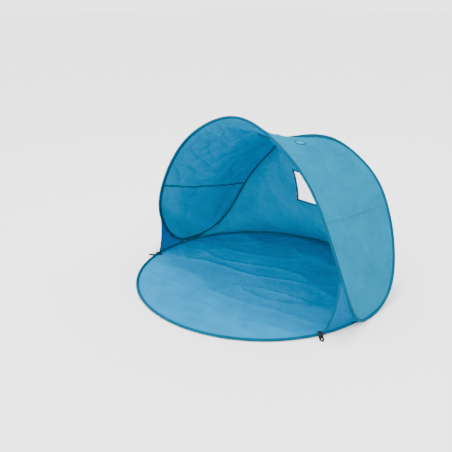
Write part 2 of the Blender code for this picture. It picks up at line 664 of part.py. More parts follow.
def make_back_wall(loop, materials):
    grid, (r0, r1, c0, c1) = wall_grid(loop)
    normals = normals_of(grid)
    keep = np.ones((grid.shape[0] - 1, grid.shape[1] - 1), bool)
    keep[r0:r1, c0:c1] = False
    add_object("back_wall", sheet_solid(grid, PANEL_THICKNESS, keep, normals=normals), materials["canopy"])

    row_length = np.linalg.norm(grid[r0 + 1, c0] - grid[r0, c0])
    column_length = np.linalg.norm(grid[r0, c0 + 1] - grid[r0, c0])

    def piece(reaches, thickness, hollow, lift):
        rows = edge_lines(r0, r1, reaches, row_length)
        columns = edge_lines(c0, c1, reaches, column_length)
        cells = np.ones((len(rows) - 1, len(columns) - 1), bool)
        cells[1:-1, 1:-1] = not hollow
        skin, ways = regrid(grid, rows, columns), regrid(normals, rows, columns)
        return sheet_solid(skin, thickness, cells, lift, ways)

    add_object("window_film", piece([EDGE_CLEARANCE], PANEL_THICKNESS, False, 0.0), materials["window"])
    facing = -1 if normals[(r0 + r1) // 2, WALL_COLUMNS // 2, 1] > 0 else 1
    lift = facing * (PANEL_THICKNESS / 2 + BINDING_CLEARANCE + TAPE_THICKNESS / 2)
    reaches = [-BINDING_WIDTH / 2, BINDING_WIDTH / 2]
    add_object("window_binding", piece(reaches, TAPE_THICKNESS, True, lift), materials["sleeve"])


# --- Front gussets ------------------------------------------------------------------------------
def gusset_grid(loop):
    """The right gusset: rows from its foot up to its apex, columns from the free edge to the canopy hoop."""
    low = next(k for k in range(QUARTER, 0, -1) if loop[k, 2] > SLEEVE_R + GUSSET_CORNER_HEIGHT)
    arch = loop[low: low - GUSSET_APEX_STEPS - 1: -1]
    past_strap = (PEG_LOOP_WIDTH / 2 / math.cos(PEG_LOOP_TURN) + EDGE_CLEARANCE) / HALF_DEPTH
    foot_angle = -PEG_LOOP_PLACE + past_strap
    corner_angle = math.asin(max(-1.0, min(1.0, arch[0, 1] / HALF_DEPTH)))
    share = np.linspace(0, 1, GUSSET_COLUMNS + 1)
    base = np.array([floor_point(lerp(foot_angle, corner_angle, s)) for s in share])
    base[:, 2] += EDGE_INSET
    off_hoop = square_to(base[0] - arch, tangents_of(loop)[low: low - GUSSET_APEX_STEPS - 1: -1])
    hoop_side = np.vstack([base[-1], arch + off_hoop * (EDGE_INSET + EDGE_CLEARANCE)])
    rise = np.linspace(0, 1, len(hoop_side))[:, None]
    apex = hoop_side[-1] + off_hoop[-1] * GUSSET_APEX_WIDTH
    free = lerp(base[0], apex, rise)
    inwards = unit(lerp(base[-1], arch[len(arch) // 2], 0.5) - lerp(base[0], apex, 0.5))
    free = free + inwards * GUSSET_SWAY * 4 * rise * (1 - rise)
    for k in range(1, len(hoop_side)):
        width = float((free[k] - hoop_side[k]) @ off_hoop[k - 1])
        free[k] += off_hoop[k - 1] * max(0.0, GUSSET_APEX_WIDTH - width)
    return film(free, hoop_side, base, lerp(apex, hoop_side[-1], share[:, None]))


def make_gusset(name, side, loop, materials):
    grid = gusset_grid(loop)
    mirror = np.array([side, 1.0, 1.0])
    normals = normals_of(grid)
    add_object(f"{name}_gusset", sheet_solid(grid * mirror, PANEL_THICKNESS), materials["canopy"])
    edge = grid[:, 0]
    inwards = square_to(grid[:, 1] - grid[:, 0], unit(np.gradient(edge, axis=0)))
    outside = 1 if normals[len(grid) // 2, 0, 0] > 0 else -1
    lift = outside * (PANEL_THICKNESS / 2 + 2 * CLEARANCE + TAPE_THICKNESS / 2)
    hem_line = (edge + inwards * HEM_WIDTH / 2)[1:-1]
    half_hem = inwards[1:-1] * HEM_WIDTH / 2
    tape = np.stack([hem_line - half_hem, hem_line + half_hem], axis=1)
    both = np.stack([normals[1:-1, 0]] * 2, axis=1)
    lifted = tape + lift * both
    up = both * mirror
    hem = sheet_solid(lifted * mirror, TAPE_THICKNESS, normals=up)
    add_object(f"{name}_gusset_hem", hem, materials["sleeve"])


def main():
    clear_scene()
    materials = {
        "floor": make_material("groundsheet_fabric", TURQUOISE, 0.6),
        "canopy": make_material("canopy_fabric", SKY_BLUE, 0.65),
        "sleeve": make_material("sleeve_fabric", DARK_BLUE, 0.7),
        "webbing": make_material("webbing", BLACK, 0.8),
        "steel": make_material("spring_steel", STEEL, 0.35, 1.0),
        "window": make_material("window_film", CLEAR, 0.15),
    }
    ground = floor_loop()
    loop = canopy_loop()

    fold = bpy.data.objects.new("canopy_fold_axis", None)
    fold.location = (0.0, FOLD_AXIS_Y, SLEEVE_R)
    bpy.context.scene.collection.objects.link(fold)
    bpy.context.view_layer.update()

    make_groundsheet(materials)
    inwards = unit(ground * np.array([-1.0, -1.0, 0.0])) - np.array([0.0, 0.0, math.tan(FLOOR_SLOT_DIP)])
    make_hoop("floor_hoop", ground, inwards, FLOOR_FERRULE_STEP, materials, None)
    slot = canopy_slots(loop, canopy_film(loop))
    make_hoop("canopy_hoop", loop, slot, CANOPY_FERRULE_STEP, materials, fold)
    make_canopy(loop, materials, fold)
    make_back_wall(loop, materials)
    for name, side in (("right", 1.0), ("left", -1.0)):
        make_gusset(name, side, loop, materials)
        make_hinge_tab(f"{name}_hinge_tab", side, loop, materials)
    front, pull = -PEG_LOOP_PLACE, -PEG_LOOP_TURN
    rear = REAR_PEG_LOOP_PLACE
    make_peg_loop("front_right_peg_loop", front, pull, True, materials)
    make_peg_loop("front_left_peg_loop", math.pi - front, math.pi - pull, True, materials)
    make_peg_loop("rear_right_peg_loop", rear, rear, False, materials)
    make_peg_loop("rear_left_peg_loop", math.pi - rear, math.pi - rear, False, materials)


main()
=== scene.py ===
"""The looks of a pop up beach shelter round its CAD frame: cloth, sleeves, seams, window and webbing."""

import math

import bpy
import numpy as np
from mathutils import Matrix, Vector, noise


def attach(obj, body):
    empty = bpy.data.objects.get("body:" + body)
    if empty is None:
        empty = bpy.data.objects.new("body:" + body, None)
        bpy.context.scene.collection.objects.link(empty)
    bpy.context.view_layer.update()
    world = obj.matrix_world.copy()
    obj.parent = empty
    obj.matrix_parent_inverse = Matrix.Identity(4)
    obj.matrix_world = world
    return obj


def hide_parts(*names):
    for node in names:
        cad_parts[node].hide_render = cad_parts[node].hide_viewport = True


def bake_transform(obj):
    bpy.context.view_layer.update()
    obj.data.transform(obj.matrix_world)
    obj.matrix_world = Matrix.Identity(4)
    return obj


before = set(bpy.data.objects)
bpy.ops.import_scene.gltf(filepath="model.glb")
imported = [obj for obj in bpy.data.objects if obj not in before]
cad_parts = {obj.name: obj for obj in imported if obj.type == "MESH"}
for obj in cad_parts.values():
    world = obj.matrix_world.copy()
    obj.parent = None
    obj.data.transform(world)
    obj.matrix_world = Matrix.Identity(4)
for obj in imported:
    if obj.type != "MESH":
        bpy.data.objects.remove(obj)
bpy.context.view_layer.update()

# --- Sizes that the CAD model is built from, in metres ------------------------------------------
FLOOR_WIDTH = 1.50
FLOOR_DEPTH = 1.43
CANOPY_HEIGHT = 1.00
WIRE_DIAMETER = 0.0038
SLEEVE_DIAMETER = 0.016
FERRULE_LENGTH = 0.034
WINDOW_WIDTH = 0.22
WINDOW_HEIGHT = 0.225
WINDOW_SILL = 0.362
BINDING_WIDTH = 0.014
SEAM_HEIGHTS = {"right": (0.575, 0.490), "left": (0.464, 0.370)}
SEAM_SAG = 0.018
LEFT_ARCH_SAG = 0.060  # how much lower the back arch stands on its left
SAG_STEPS = 16
ROOF_PATCH_DIAMETER = 0.062
ROOF_PATCH_SIDE = 0.238
ROOF_PATCH_BACK = 0.57
PEG_LOOP_WIDTH = 0.025
PEG_LOOP_REACH = 0.034
PEG_LOOP_POINT = 0.012
PEG_LOOP_INSIDE = 0.014
PEG_EYE_WIDTH = 0.011
PEG_EYE_START = 0.006
PEG_TIP_SHARE = 0.22
PEG_LOOP_TURN = math.radians(39)
PEG_LOOP_PLACE = math.radians(19.5)
REAR_PEG_LOOP_PLACE = math.radians(62)
PEG_START_ON_SLEEVE = math.radians(60)
WEBBING_THICKNESS = 0.0016
GUSSET_APEX_STEPS = 6
GUSSET_SWAY = 0.022
GUSSET_APEX_WIDTH = 0.018
GUSSET_COLUMNS = 4
HINGE_TAB_LENGTH = 0.10
HINGE_TAB_HOOP_RISE = 0.010
CLEARANCE = 0.0004
EDGE_CLEARANCE = 0.0010
HOOP_CLEARANCE = 0.0020
FLOOR_SLOT_DIP = math.radians(28)
RIM_FLAT_FROM = 0.045
WALL_CORNER_HEIGHT = 0.020
WALL_CORNER_LEAD = 0.145  # 45 mm more than in the CAD, where the wall stops short of the sleeves
MOST_LINE_SHIFT = 0.45
GUSSET_CORNER_HEIGHT = 0.016
GUSSET_CORNER_LEAD = 0.045  # the CAD has none
CANOPY_STEPS = 128
EAR_STEPS = 8
WALL_COLUMNS = 16
SEAM_REACH = 8
RELAX_ROUNDS = 400
SLOT_ROUNDS = 6

# The right half of the canopy hoop: x in ear half widths, y in floor half depths, z in canopy heights.
CANOPY_OUTLINE = [
    (0.00, -0.20, 1.00),
    (0.39, -0.21, 0.91),
    (0.69, -0.22, 0.735),
    (0.91, -0.24, 0.475),
    (1.03, -0.18, 0.18),
    (1.02, -0.02, 0.02),
    (1.00, 0.20, 0.00),
    (0.95, 0.46, 0.08),
    (0.86, 0.61, 0.26),
    (0.725, 0.70, 0.465),
    (0.56, 0.755, 0.615),
    (0.41, 0.68, 0.745),
    (0.32, 0.48, 0.85),
    (0.245, 0.28, 0.88),
    (0.137, 0.15, 0.865),
    (0.00, 0.105, 0.855),
]

# --- Sizes of what only the eye sees ------------------------------------------------------------
SEWN_IN = 0.004  # how far a panel's edge goes into the sleeve that it is sewn to
CLOTH = 0.0006  # thickness of the polyester, with its coating
TAPE = 0.0009
SLEEVE_TAIL = 0.0062  # flat, sewn part of a sleeve beyond its round part
SLEEVE_SEAM = 0.0036  # from the round part to its line of stitches
STITCH_PITCH = 0.0060
STITCH_LENGTH = 0.0042
STITCH_RADIUS = 0.00042
SEAM_TAPE_WIDTH = 0.013
WELT_WIDTH = 0.010  # folded seam that stands proud outside
WELT_HEIGHT = 0.0009
BINDING_LIFT = 0.0013
FINE = 6  # fine steps for each step of the CAD grid, along the hoops
FINE_ACROSS = 8  # and across the canopy
GROUND_RINGS = 70
OUTER_RINGS = 10  # of those, near the rim, give way to RIM_RINGS finer ones
RIM_RINGS = 24
RIM_FROM = 0.87  # in rim distances from the middle
GROUND_SPOKES = 288
SLEEVE_PINCH = math.radians(26)  # half the gap in a sleeve's round part, where its tail starts
SLEEVE_SIDES = 15
GATHER_LENGTH = 0.016  # of a sleeve's small gathers
DRIFT_LENGTH = 0.09  # and of its slow changes
TAIL_ROOT = 0.0012  # from the round part to the tail
TAIL_HALF = 0.0011  # half the tail's thickness
TAIL_FLARE = 0.0003
TAIL_BEVEL = 0.0004
TAIL_DRIFT = 0.0007
TAPE_BEND = (0.0004, 0.0010, 0.0013, 0.0014, 0.0013, 0.0010, 0.0004)  # a seam tape off the cloth, across it
TAPE_STITCHED = (1, 5)  # the lines of a seam tape that are stitched
PATCH_RIM = 0.006
BINDING_STITCHED = (0.35, 1.65)  # where the lines of stitches lie across the binding, in its grid steps
FOOT_TAPE_LIFT = 0.0003
GUSSET_FINE = 8
GUSSET_HEM_WIDTH = 0.012
GUSSET_HEM_LIFT = 0.0002
TAB_ON_FLOOR = np.radians(np.linspace(118, 72, 7))  # how far round the floor sleeve a hinge tab lies
TAB_ON_CANOPY = np.radians(np.linspace(128, 112, 4))  # and round the canopy sleeve
STRAP_LINES = np.array([-1.0, -0.85, -0.6, 0.0, 0.6, 0.85, 1.0])  # lines along the webbing, in half widths
STRAP_INSIDE_ROWS = 5
STRAP_EYE_ROWS = 9
STRAP_TIP_ROWS = 6
STRAP_EYE_SHARE = 0.3  # the eye looks almost shut, so it is narrower than in the CAD
LAMPS = [  # name, place, target, size and power
    ("key", (-0.5, 0.5, 4.8), (0.0, 0.0, 0.3), 0.9, 150.0),
    ("fill", (1.2, -4.0, 2.2), (0.0, 0.0, 0.4), 3.0, 70.0),
]
WORLD_STRENGTH = 3.1
CAMERA_AZIMUTH = math.radians(46.1)
CAMERA_ELEVATION = math.radians(21.2)
CAMERA_DISTANCE = 3.75
CAMERA_TARGET = (0.0, 0.0, 0.3375)
CAMERA_LENS = 50.55
CAMERA_SENSOR = 36.0
CAMERA_SHIFT = -0.071

HALF_WIDTH = FLOOR_WIDTH / 2
HALF_DEPTH = FLOOR_DEPTH / 2
SLEEVE_R = SLEEVE_DIAMETER / 2
EDGE_INSET = SLEEVE_R + EDGE_CLEARANCE
EAR_HALF_WIDTH = HALF_WIDTH + SLEEVE_DIAMETER + HOOP_CLEARANCE
QUARTER = CANOPY_STEPS // 4
HALF_LOOP = CANOPY_STEPS // 2
EAR_FRONT = QUARTER - EAR_STEPS // 2
EAR_BACK = QUARTER + EAR_STEPS // 2
CANOPY_FERRULE_STEP = HALF_LOOP - 14


# --- The CAD model's curves and surfaces --------------------------------------------------------
def unit(vectors):
    vectors = np.asarray(vectors, float)
    return vectors / np.maximum(np.linalg.norm(vectors, axis=-1, keepdims=True), 1e-12)


def square_to(vectors, tangents):
    along = np.sum(vectors * tangents, axis=-1, keepdims=True)
    return unit(vectors - along * tangents)


def spring_curve(points, steps):
    """A closed cubic spline through the points, in steps of equal length."""
    points = np.asarray(points, float)
    count = len(points)
    span = np.linalg.norm(np.roll(points, -1, axis=0) - points, axis=1)
    before = np.roll(span, 1)
    rows = np.zeros((count, count))
    right = np.zeros((count, 3))
    for k in range(count):
        rows[k, k - 1] = span[k]
        rows[k, k] = 2 * (span[k] + before[k])
        rows[k, (k + 1) % count] = before[k]
        ahead = (points[(k + 1) % count] - points[k]) / span[k]
        behind = (points[k] - points[k - 1]) / before[k]
        right[k] = 3 * (span[k] * behind + before[k] * ahead)
    slope = np.linalg.solve(rows, right)
    fine = []
    t = (np.arange(40) / 40)[:, None]
    for k in range(count):
        a, b = points[k], points[(k + 1) % count]
        da, db = slope[k] * span[k], slope[(k + 1) % count] * span[k]
        fine.append(hermite(a, b, da, db, t))
    fine = np.vstack(fine + [points[:1]])
    length = arc_length(fine)
    places = np.arange(steps) * length[-1] / steps
    return np.stack([np.interp(places, length, fine[:, axis]) for axis in range(3)], axis=1)


def hermite(a, b, da, db, t):
    return ((2 * t**3 - 3 * t**2 + 1) * a + (t**3 - 2 * t**2 + t) * da
            + (3 * t**2 - 2 * t**3) * b + (t**3 - t**2) * db)


def arc_length(line):
    return np.concatenate([[0.0], np.cumsum(np.linalg.norm(np.diff(line, axis=0), axis=1))])


def canopy_loop():
    lift = CANOPY_HEIGHT - SLEEVE_R
    right = [(x * EAR_HALF_WIDTH, y * HALF_DEPTH, SLEEVE_R + z * lift) for x, y, z in CANOPY_OUTLINE]
    left = [(-x, y, z) for x, y, z in right[-2:0:-1]]
    loop = spring_curve(right + left, CANOPY_STEPS)
    sag = np.sin(math.pi * np.arange(SAG_STEPS) / SAG_STEPS) ** 2
    loop[HALF_LOOP: HALF_LOOP + SAG_STEPS, 2] -= LEFT_ARCH_SAG * sag
    loop[:, 2] = np.maximum(loop[:, 2], SLEEVE_R)
    return loop


def floor_normal(angle):
    return unit([math.cos(angle) / HALF_WIDTH, math.sin(angle) / HALF_DEPTH, 0.0])


def floor_point(angle, outwards=0.0, height=SLEEVE_R):
    point = np.array([HALF_WIDTH * math.cos(angle), HALF_DEPTH * math.sin(angle), height])
    return point + outwards * floor_normal(angle)


def tangents_of(loop):
    return unit(np.roll(loop, -1, axis=0) - np.roll(loop, 1, axis=0))


def normals_of(grid):
    return unit(np.cross(np.gradient(grid, axis=0), np.gradient(grid, axis=1)))


def film(first, last, start, end):
    """A soap film over a frame of four edges."""
    u = np.linspace(0, 1, len(first))[:, None, None]
    v = np.linspace(0, 1, len(start))[None, :, None]
    grid = (1 - v) * first[:, None] + v * last[:, None] + (1 - u) * start[None] + u * end[None]
    grid -= (1 - u) * (1 - v) * first[0] + u * (1 - v) * first[-1]
    grid -= (1 - u) * v * last[0] + u * v * last[-1]
    return relax(grid)


def relax(grid):
    grid = grid.copy()
    for _ in range(RELAX_ROUNDS):
        around = grid[:-2, 1:-1] + grid[2:, 1:-1] + grid[1:-1, :-2] + grid[1:-1, 2:]
        grid[1:-1, 1:-1] = around / 4
    return grid


def inset_edges(grid, inset):
    out = grid.copy()
    first_row, last_row, first_column, last_column = inset
    step_in = [
        (np.s_[0, :], grid[1] - grid[0], np.gradient(grid[0], axis=0), first_row),
        (np.s_[-1, :], grid[-2] - grid[-1], np.gradient(grid[-1], axis=0), last_row),
        (np.s_[:, 0], grid[:, 1] - grid[:, 0], np.gradient(grid[:, 0], axis=0), first_column),
        (np.s_[:, -1], grid[:, -2] - grid[:, -1], np.gradient(grid[:, -1], axis=0), last_column),
    ]
    for where, inwards, edge, distance in step_in:
        if distance:
            out[where] += distance * square_to(inwards, unit(edge))
    return relax(out)


def lerp(a, b, share):
    return a + (b - a) * share


def at(grid, i, j):
    """The point of a grid at fractional row i and column j."""
    i = min(max(i, 0), grid.shape[0] - 1 - 1e-9)
    j = min(max(j, 0), grid.shape[1] - 1 - 1e-9)
    r, c = int(i), int(j)
    low = lerp(grid[r, c], grid[r, c + 1], j - c)
    high = lerp(grid[r + 1, c], grid[r + 1, c + 1], j - c)
    return lerp(low, high, i - r)


def canopy_film(loop):
    last = CANOPY_STEPS - EAR_FRONT
    front = np.vstack([loop[EAR_FRONT::-1], loop[:last - 1:-1]])
    back = loop[EAR_BACK: CANOPY_STEPS - EAR_BACK + 1]
    right = loop[EAR_FRONT: EAR_BACK + 1]
    left = loop[CANOPY_STEPS - EAR_BACK: last + 1][::-1]
    return film(front, back, right, left)


def canopy_slots(loop, grid):
    """For each step of the canopy hoop, the way towards the canopy's surface."""
    ways = np.zeros_like(loop)
    for k in range(grid.shape[0]):
        ways[(EAR_FRONT - k) % CANOPY_STEPS] = grid[k, 1] - grid[k, 0]
        ways[EAR_BACK + k] = grid[k, -2] - grid[k, -1]
    for k in range(1, EAR_STEPS):
        ways[EAR_FRONT + k] = grid[1, k] - grid[0, k]
        ways[CANOPY_STEPS - EAR_FRONT - k] = grid[-2, k] - grid[-1, k]
    ways = unit(ways)
    for _ in range(SLOT_ROUNDS):
        ways = unit(np.roll(ways, 1, axis=0) + 2 * ways + np.roll(ways, -1, axis=0))
    return ways


def with_seams(grid):
    """The canopy's grid with a row moved onto each ear's seam, and which rows those are."""
    last = grid.shape[0] - 1
    half = grid.shape[0] // 2
    numbers = np.arange(last + 1.0)
    places = np.tile(numbers[:, None], (1, grid.shape[1]))
    seams = {}
    for side, (front, back) in SEAM_HEIGHTS.items():
        climb = grid[:half, :, 2] if side == "right" else grid[:half: -1, :, 2]
        share = np.linspace(0, 1, grid.shape[1])
        heights = lerp(front, back, share) - SEAM_SAG * 4 * share * (1 - share)
        rows = np.array([np.interp(h, climb[:, j], np.arange(len(climb))) for j, h in enumerate(heights)])
        rows = rows if side == "right" else last - rows
        seam = int(round(rows.mean()))
        ends = (0, seam + SEAM_REACH) if side == "right" else (seam - SEAM_REACH, last)
        share = np.interp(numbers, [ends[0], seam, ends[1]], [0.0, 1.0, 0.0])
        places += share[:, None] * (rows - seam)[None, :]
        seams[side] = seam
    moved = [[at(grid, places[i, j], j) for j in range(grid.shape[1])] for i in range(last + 1)]
    return np.array(moved), seams


def wall_grid(loop):
    """The back wall's grid, with lines on the window's edges, and the window's rows and columns."""
    start = next(k for k in range(QUARTER, HALF_LOOP) if loop[k, 2] > SLEEVE_R + WALL_CORNER_HEIGHT)
    head = HALF_LOOP - WALL_COLUMNS // 2
    right = loop[start: head + 1]
    left = loop[CANOPY_STEPS - start: CANOPY_STEPS - head - 1: -1]
    top = loop[head: CANOPY_STEPS - head + 1]
    corner = math.asin(min(1.0, right[0, 1] / HALF_DEPTH)) - WALL_CORNER_LEAD / HALF_DEPTH
    angles = np.linspace(corner, math.pi - corner, WALL_COLUMNS + 1)
    bottom = np.array([floor_point(a, 0.0, SLEEVE_R + EDGE_INSET) for a in angles])
    right = np.vstack([bottom[0], right[1:]])
    left = np.vstack([bottom[-1], left[1:]])
    base = inset_edges(film(right, left, bottom, top), (0.0,) + (EDGE_INSET - SEWN_IN,) * 3)
    base[0, :, 2] = SLEEVE_R + EDGE_INSET - SEWN_IN
    rows = np.arange(base.shape[0])
    climb = base[:, WALL_COLUMNS // 2]
    length = arc_length(climb)
    sill = float(np.interp(WINDOW_SILL, climb[:, 2], rows))
    top_edge = float(np.interp(np.interp(sill, rows, length) + WINDOW_HEIGHT, length, rows))
    r0, r1 = int(round(sill)), int(round(top_edge))
    lines = rows.astype(float)
    lines[r0], lines[r1] = sill, top_edge
    level = np.array([[at(base, i, j) for j in range(base.shape[1])] for i in lines])
    columns = np.arange(base.shape[1])
    edge = np.array([np.interp(-WINDOW_WIDTH / 2, -row[:, 0], columns) for row in level])
    c0 = int(round(edge[r0: r1 + 1].mean()))
    edge = np.clip(edge, c0 - MOST_LINE_SHIFT, c0 + MOST_LINE_SHIFT)
    grid = level.copy()
    for i in range(len(level)):
        grid[i, c0] = at(level, i, edge[i])
        grid[i, -1 - c0] = at(level, i, columns[-1] - edge[i])
    return grid, (r0, r1, c0, WALL_COLUMNS - c0)


def gusset_grid(loop):
    low = next(k for k in range(QUARTER, 0, -1) if loop[k, 2] > SLEEVE_R + GUSSET_CORNER_HEIGHT)
    arch = loop[low: low - GUSSET_APEX_STEPS - 1: -1]
    past_strap = (PEG_LOOP_WIDTH / 2 / math.cos(PEG_LOOP_TURN) + EDGE_CLEARANCE) / HALF_DEPTH
    foot_angle = -PEG_LOOP_PLACE + past_strap
    corner_angle = math.asin(max(-1.0, min(1.0, (arch[0, 1] + GUSSET_CORNER_LEAD) / HALF_DEPTH)))
    share = np.linspace(0, 1, GUSSET_COLUMNS + 1)
    base = np.array([floor_point(lerp(foot_angle, corner_angle, s)) for s in share])
    base[:, 2] += EDGE_INSET - SEWN_IN
    off_hoop = square_to(base[0] - arch, tangents_of(loop)[low: low - GUSSET_APEX_STEPS - 1: -1])
    hoop_side = np.vstack([base[-1], arch + off_hoop * (EDGE_INSET - SEWN_IN)])
    rise = np.linspace(0, 1, len(hoop_side))[:, None]
    apex = hoop_side[-1] + off_hoop[-1] * GUSSET_APEX_WIDTH
    free = lerp(base[0], apex, rise)
    inwards = unit(lerp(base[-1], arch[len(arch) // 2], 0.5) - lerp(base[0], apex, 0.5))
    free = free + inwards * GUSSET_SWAY * 4 * rise * (1 - rise)
    for k in range(1, len(hoop_side)):
        width = float((free[k] - hoop_side[k]) @ off_hoop[k - 1])
        free[k] += off_hoop[k - 1] * max(0.0, GUSSET_APEX_WIDTH - width)
    return film(free, hoop_side, base, lerp(apex, hoop_side[-1], share[:, None]))


# --- Finer cloth --------------------------------------------------------------------------------
def finer(points, times, closed=False):
    """Smooth points between those given, along the first axis."""
    if closed:
        many = np.concatenate([points[-2:], points, points[:3]])
        return finer(many, times)[2 * times: -2 * times - 1]
    slope = np.gradient(points, axis=0)
    t = (np.arange(times) / times).reshape((1, times) + (1,) * (points.ndim - 1))
    parts = hermite(points[:-1, None], points[1:, None], slope[:-1, None], slope[1:, None], t)
    return np.concatenate([parts.reshape((-1,) + points.shape[1:]), points[-1:]])


def finer_grid(grid, rows, columns):
    fine = finer(grid, rows)
    return np.swapaxes(finer(np.swapaxes(fine, 0, 1), columns), 0, 1)


def lengths_of(grid):
    """How far along the cloth each point is, in metres, down the rows and across the columns."""
    down = np.linalg.norm(np.diff(grid, axis=0), axis=2)
    over = np.linalg.norm(np.diff(grid, axis=1), axis=2)
    u = np.vstack([np.zeros((1, grid.shape[1])), np.cumsum(down, axis=0)])
    v = np.hstack([np.zeros((grid.shape[0], 1)), np.cumsum(over, axis=1)])
    return u, v


def noise_over(a, b, seed):
    flat = [noise.noise(Vector((x, y, seed))) for x, y in zip(np.ravel(a), np.ravel(b))]
    return np.array(flat).reshape(np.shape(a))


def folds(u, v, angle, long, wide, seed):
    """Long, soft folds that run at the angle to u, from -1 to 1."""
    c, s = math.cos(angle), math.sin(angle)
    return noise_over((u * c + v * s) / long, (v * c - u * s) / wide, seed)


def creases(u, v, angle, long, wide, seed, sharpness=3.0):
    """Narrow ridges, from 0 to 1, that run at the angle to u."""
    return (1 - np.minimum(1, np.abs(folds(u, v, angle, long, wide, seed)) * 2.5)) ** sharpness


def ease(share):
    share = np.clip(share, 0, 1)
    return share * share * (3 - 2 * share)


def from_edges(u, v):
    """The distance to the nearest of a grid's four edges, and to each of them."""
    each = [u - u[:1], u[-1:] - u, v - v[:, :1], v[:, -1:] - v]
    return np.minimum.reduce(each), each


# --- Meshes -------------------------------------------------------------------------------------
def mesh_object(name, verts, faces, material, uvs=None):
    mesh = bpy.data.meshes.new(name)
    mesh.from_pydata([tuple(map(float, v)) for v in verts], [], faces)
    mesh.validate()
    mesh.shade_smooth()
    if uvs is not None:
        layer = mesh.uv_layers.new(name="cloth")
        index = np.zeros(len(mesh.loops), np.int32)
        mesh.loops.foreach_get("vertex_index", index)
        layer.data.foreach_set("uv", np.asarray(uvs, np.float32)[index].ravel())
    mesh.materials.append(material)
    obj = bpy.data.objects.new(name, mesh)
    bpy.context.scene.collection.objects.link(obj)
    return obj


def thicken(piece, thickness, offset=0.0):
    solid = piece.modifiers.new("thickness", "SOLIDIFY")
    solid.thickness, solid.offset = thickness, offset


def cloth(name, grid, material, thickness=CLOTH, keep=None, lift=None, lengths=None):
    """A sheet of cloth over a grid of points; keep says which cells exist, lift moves it off the grid."""
    u, v = lengths_of(grid) if lengths is None else lengths
    points = grid
    if lift is not None:
        points = grid + np.broadcast_to(lift, grid.shape[:2])[..., None] * normals_of(grid)
    rows, columns = grid.shape[:2]
    number = np.arange(rows * columns).reshape(rows, columns)
    cells = np.stack([number[:-1, :-1], number[1:, :-1], number[1:, 1:], number[:-1, 1:]], axis=-1)
    keep = np.ones(cells.shape[:2], bool) if keep is None else keep
    used, index = np.unique(cells[keep].ravel(), return_inverse=True)
    uvs = np.stack([u.ravel(), v.ravel()], axis=1)[used]
    obj = mesh_object(name, points.reshape(-1, 3)[used], index.reshape(-1, 4).tolist(), material, uvs)
    thicken(obj, thickness)
    return obj


def tube(name, rings, material, closed=True):
    """A tube through rings of points, with its lengths in metres as UVs."""
    rings = np.asarray(rings)
    count, sides = rings.shape[:2]
    along = np.repeat(arc_length(rings.mean(axis=1)), sides)
    around = np.tile(np.arange(sides) / sides * SLEEVE_DIAMETER * math.pi, count)
    faces = []
    for k in range(count if closed else count - 1):
        m = (k + 1) % count
        for s in range(sides):
            t = (s + 1) % sides
            faces.append((k * sides + s, k * sides + t, m * sides + t, m * sides + s))
    if not closed:
        faces.append(tuple(range(sides))[::-1])
        faces.append(tuple((count - 1) * sides + s for s in range(sides)))
    uvs = np.stack([along, around], axis=1)
    return mesh_object(name, rings.reshape(-1, 3), faces, material, uvs)


def stitching(name, seams, material):
    """Lines of stitches. Each seam is (points, the way out of the cloth at each point)."""
    verts, faces = [], []
    for line, out in seams:
        length = arc_length(line)
        count = max(1, int(length[-1] / STITCH_PITCH))
        middles = (np.arange(count) + 0.5) * length[-1] / count
        place = [np.stack([np.interp(middles + shift, length, line[:, axis]) for axis in range(3)], axis=1)
                 for shift in (-STITCH_LENGTH / 2, 0.0, STITCH_LENGTH / 2)]
        up = unit(np.stack([np.interp(middles, length, out[:, axis]) for axis in range(3)], axis=1))
        side = unit(np.cross(place[2] - place[0], up))
        for a, m, b, n, s in zip(*place, up, side):
            k = len(verts)
            verts += [a, b, m + n * STITCH_RADIUS * 1.5, m + s * STITCH_RADIUS * 1.3,
                      m - n * STITCH_RADIUS, m - s * STITCH_RADIUS * 1.3]
            for p, q in ((2, 3), (3, 4), (4, 5), (5, 2)):
                faces += [(k, k + q, k + p), (k + 1, k + p, k + q)]
    return mesh_object(name, verts, faces, material)


def follow_fold(piece, *nodes, slot=None):
    """The piece's place is baked into its mesh, and it stands for the CAD nodes, which are hidden."""
    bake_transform(piece)
    finish_piece(nodes)


def stay_on_floor(piece, *nodes, slot=None):
    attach(piece, "floor")
    finish_piece(nodes)


def finish_piece(nodes):
    if nodes:
        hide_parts(*nodes)


def sew(name, lines, materials, slot="sleeve_fabric"):
    """Stitches along the lines, baked in place."""
    stitches = stitching(name, lines, materials["thread"])
    follow_fold(stitches, slot=slot)
    return stitches


# --- Materials ----------------------------------------------------------------------------------
def new_material(name):
    material = bpy.data.materials.new(name)
    material.use_nodes = True
    nodes, links = material.node_tree.nodes, material.node_tree.links
    return material, nodes, links, nodes["Principled BSDF"]


def add_noise(nodes, links, coordinates, scale, detail=3.0, roughness=0.55):
    texture = nodes.new("ShaderNodeTexNoise")
    texture.inputs["Scale"].default_value = scale
    texture.inputs["Detail"].default_value = detail
    texture.inputs["Roughness"].default_value = roughness
    links.new(coordinates, texture.inputs["Vector"])
    return texture.outputs["Fac"]


def add_shades(nodes, links, factor, dark, light, start=0.0, end=1.0):
    """A colour that goes from dark to light as the factor goes from start to end."""
    ramp = nodes.new("ShaderNodeValToRGB")
    for element, place, shade in zip(ramp.color_ramp.elements, (start, end), (dark, light)):
        element.position = place
        element.color = (*shade, 1.0)
    links.new(factor, ramp.inputs["Fac"])
    return ramp.outputs["Color"]


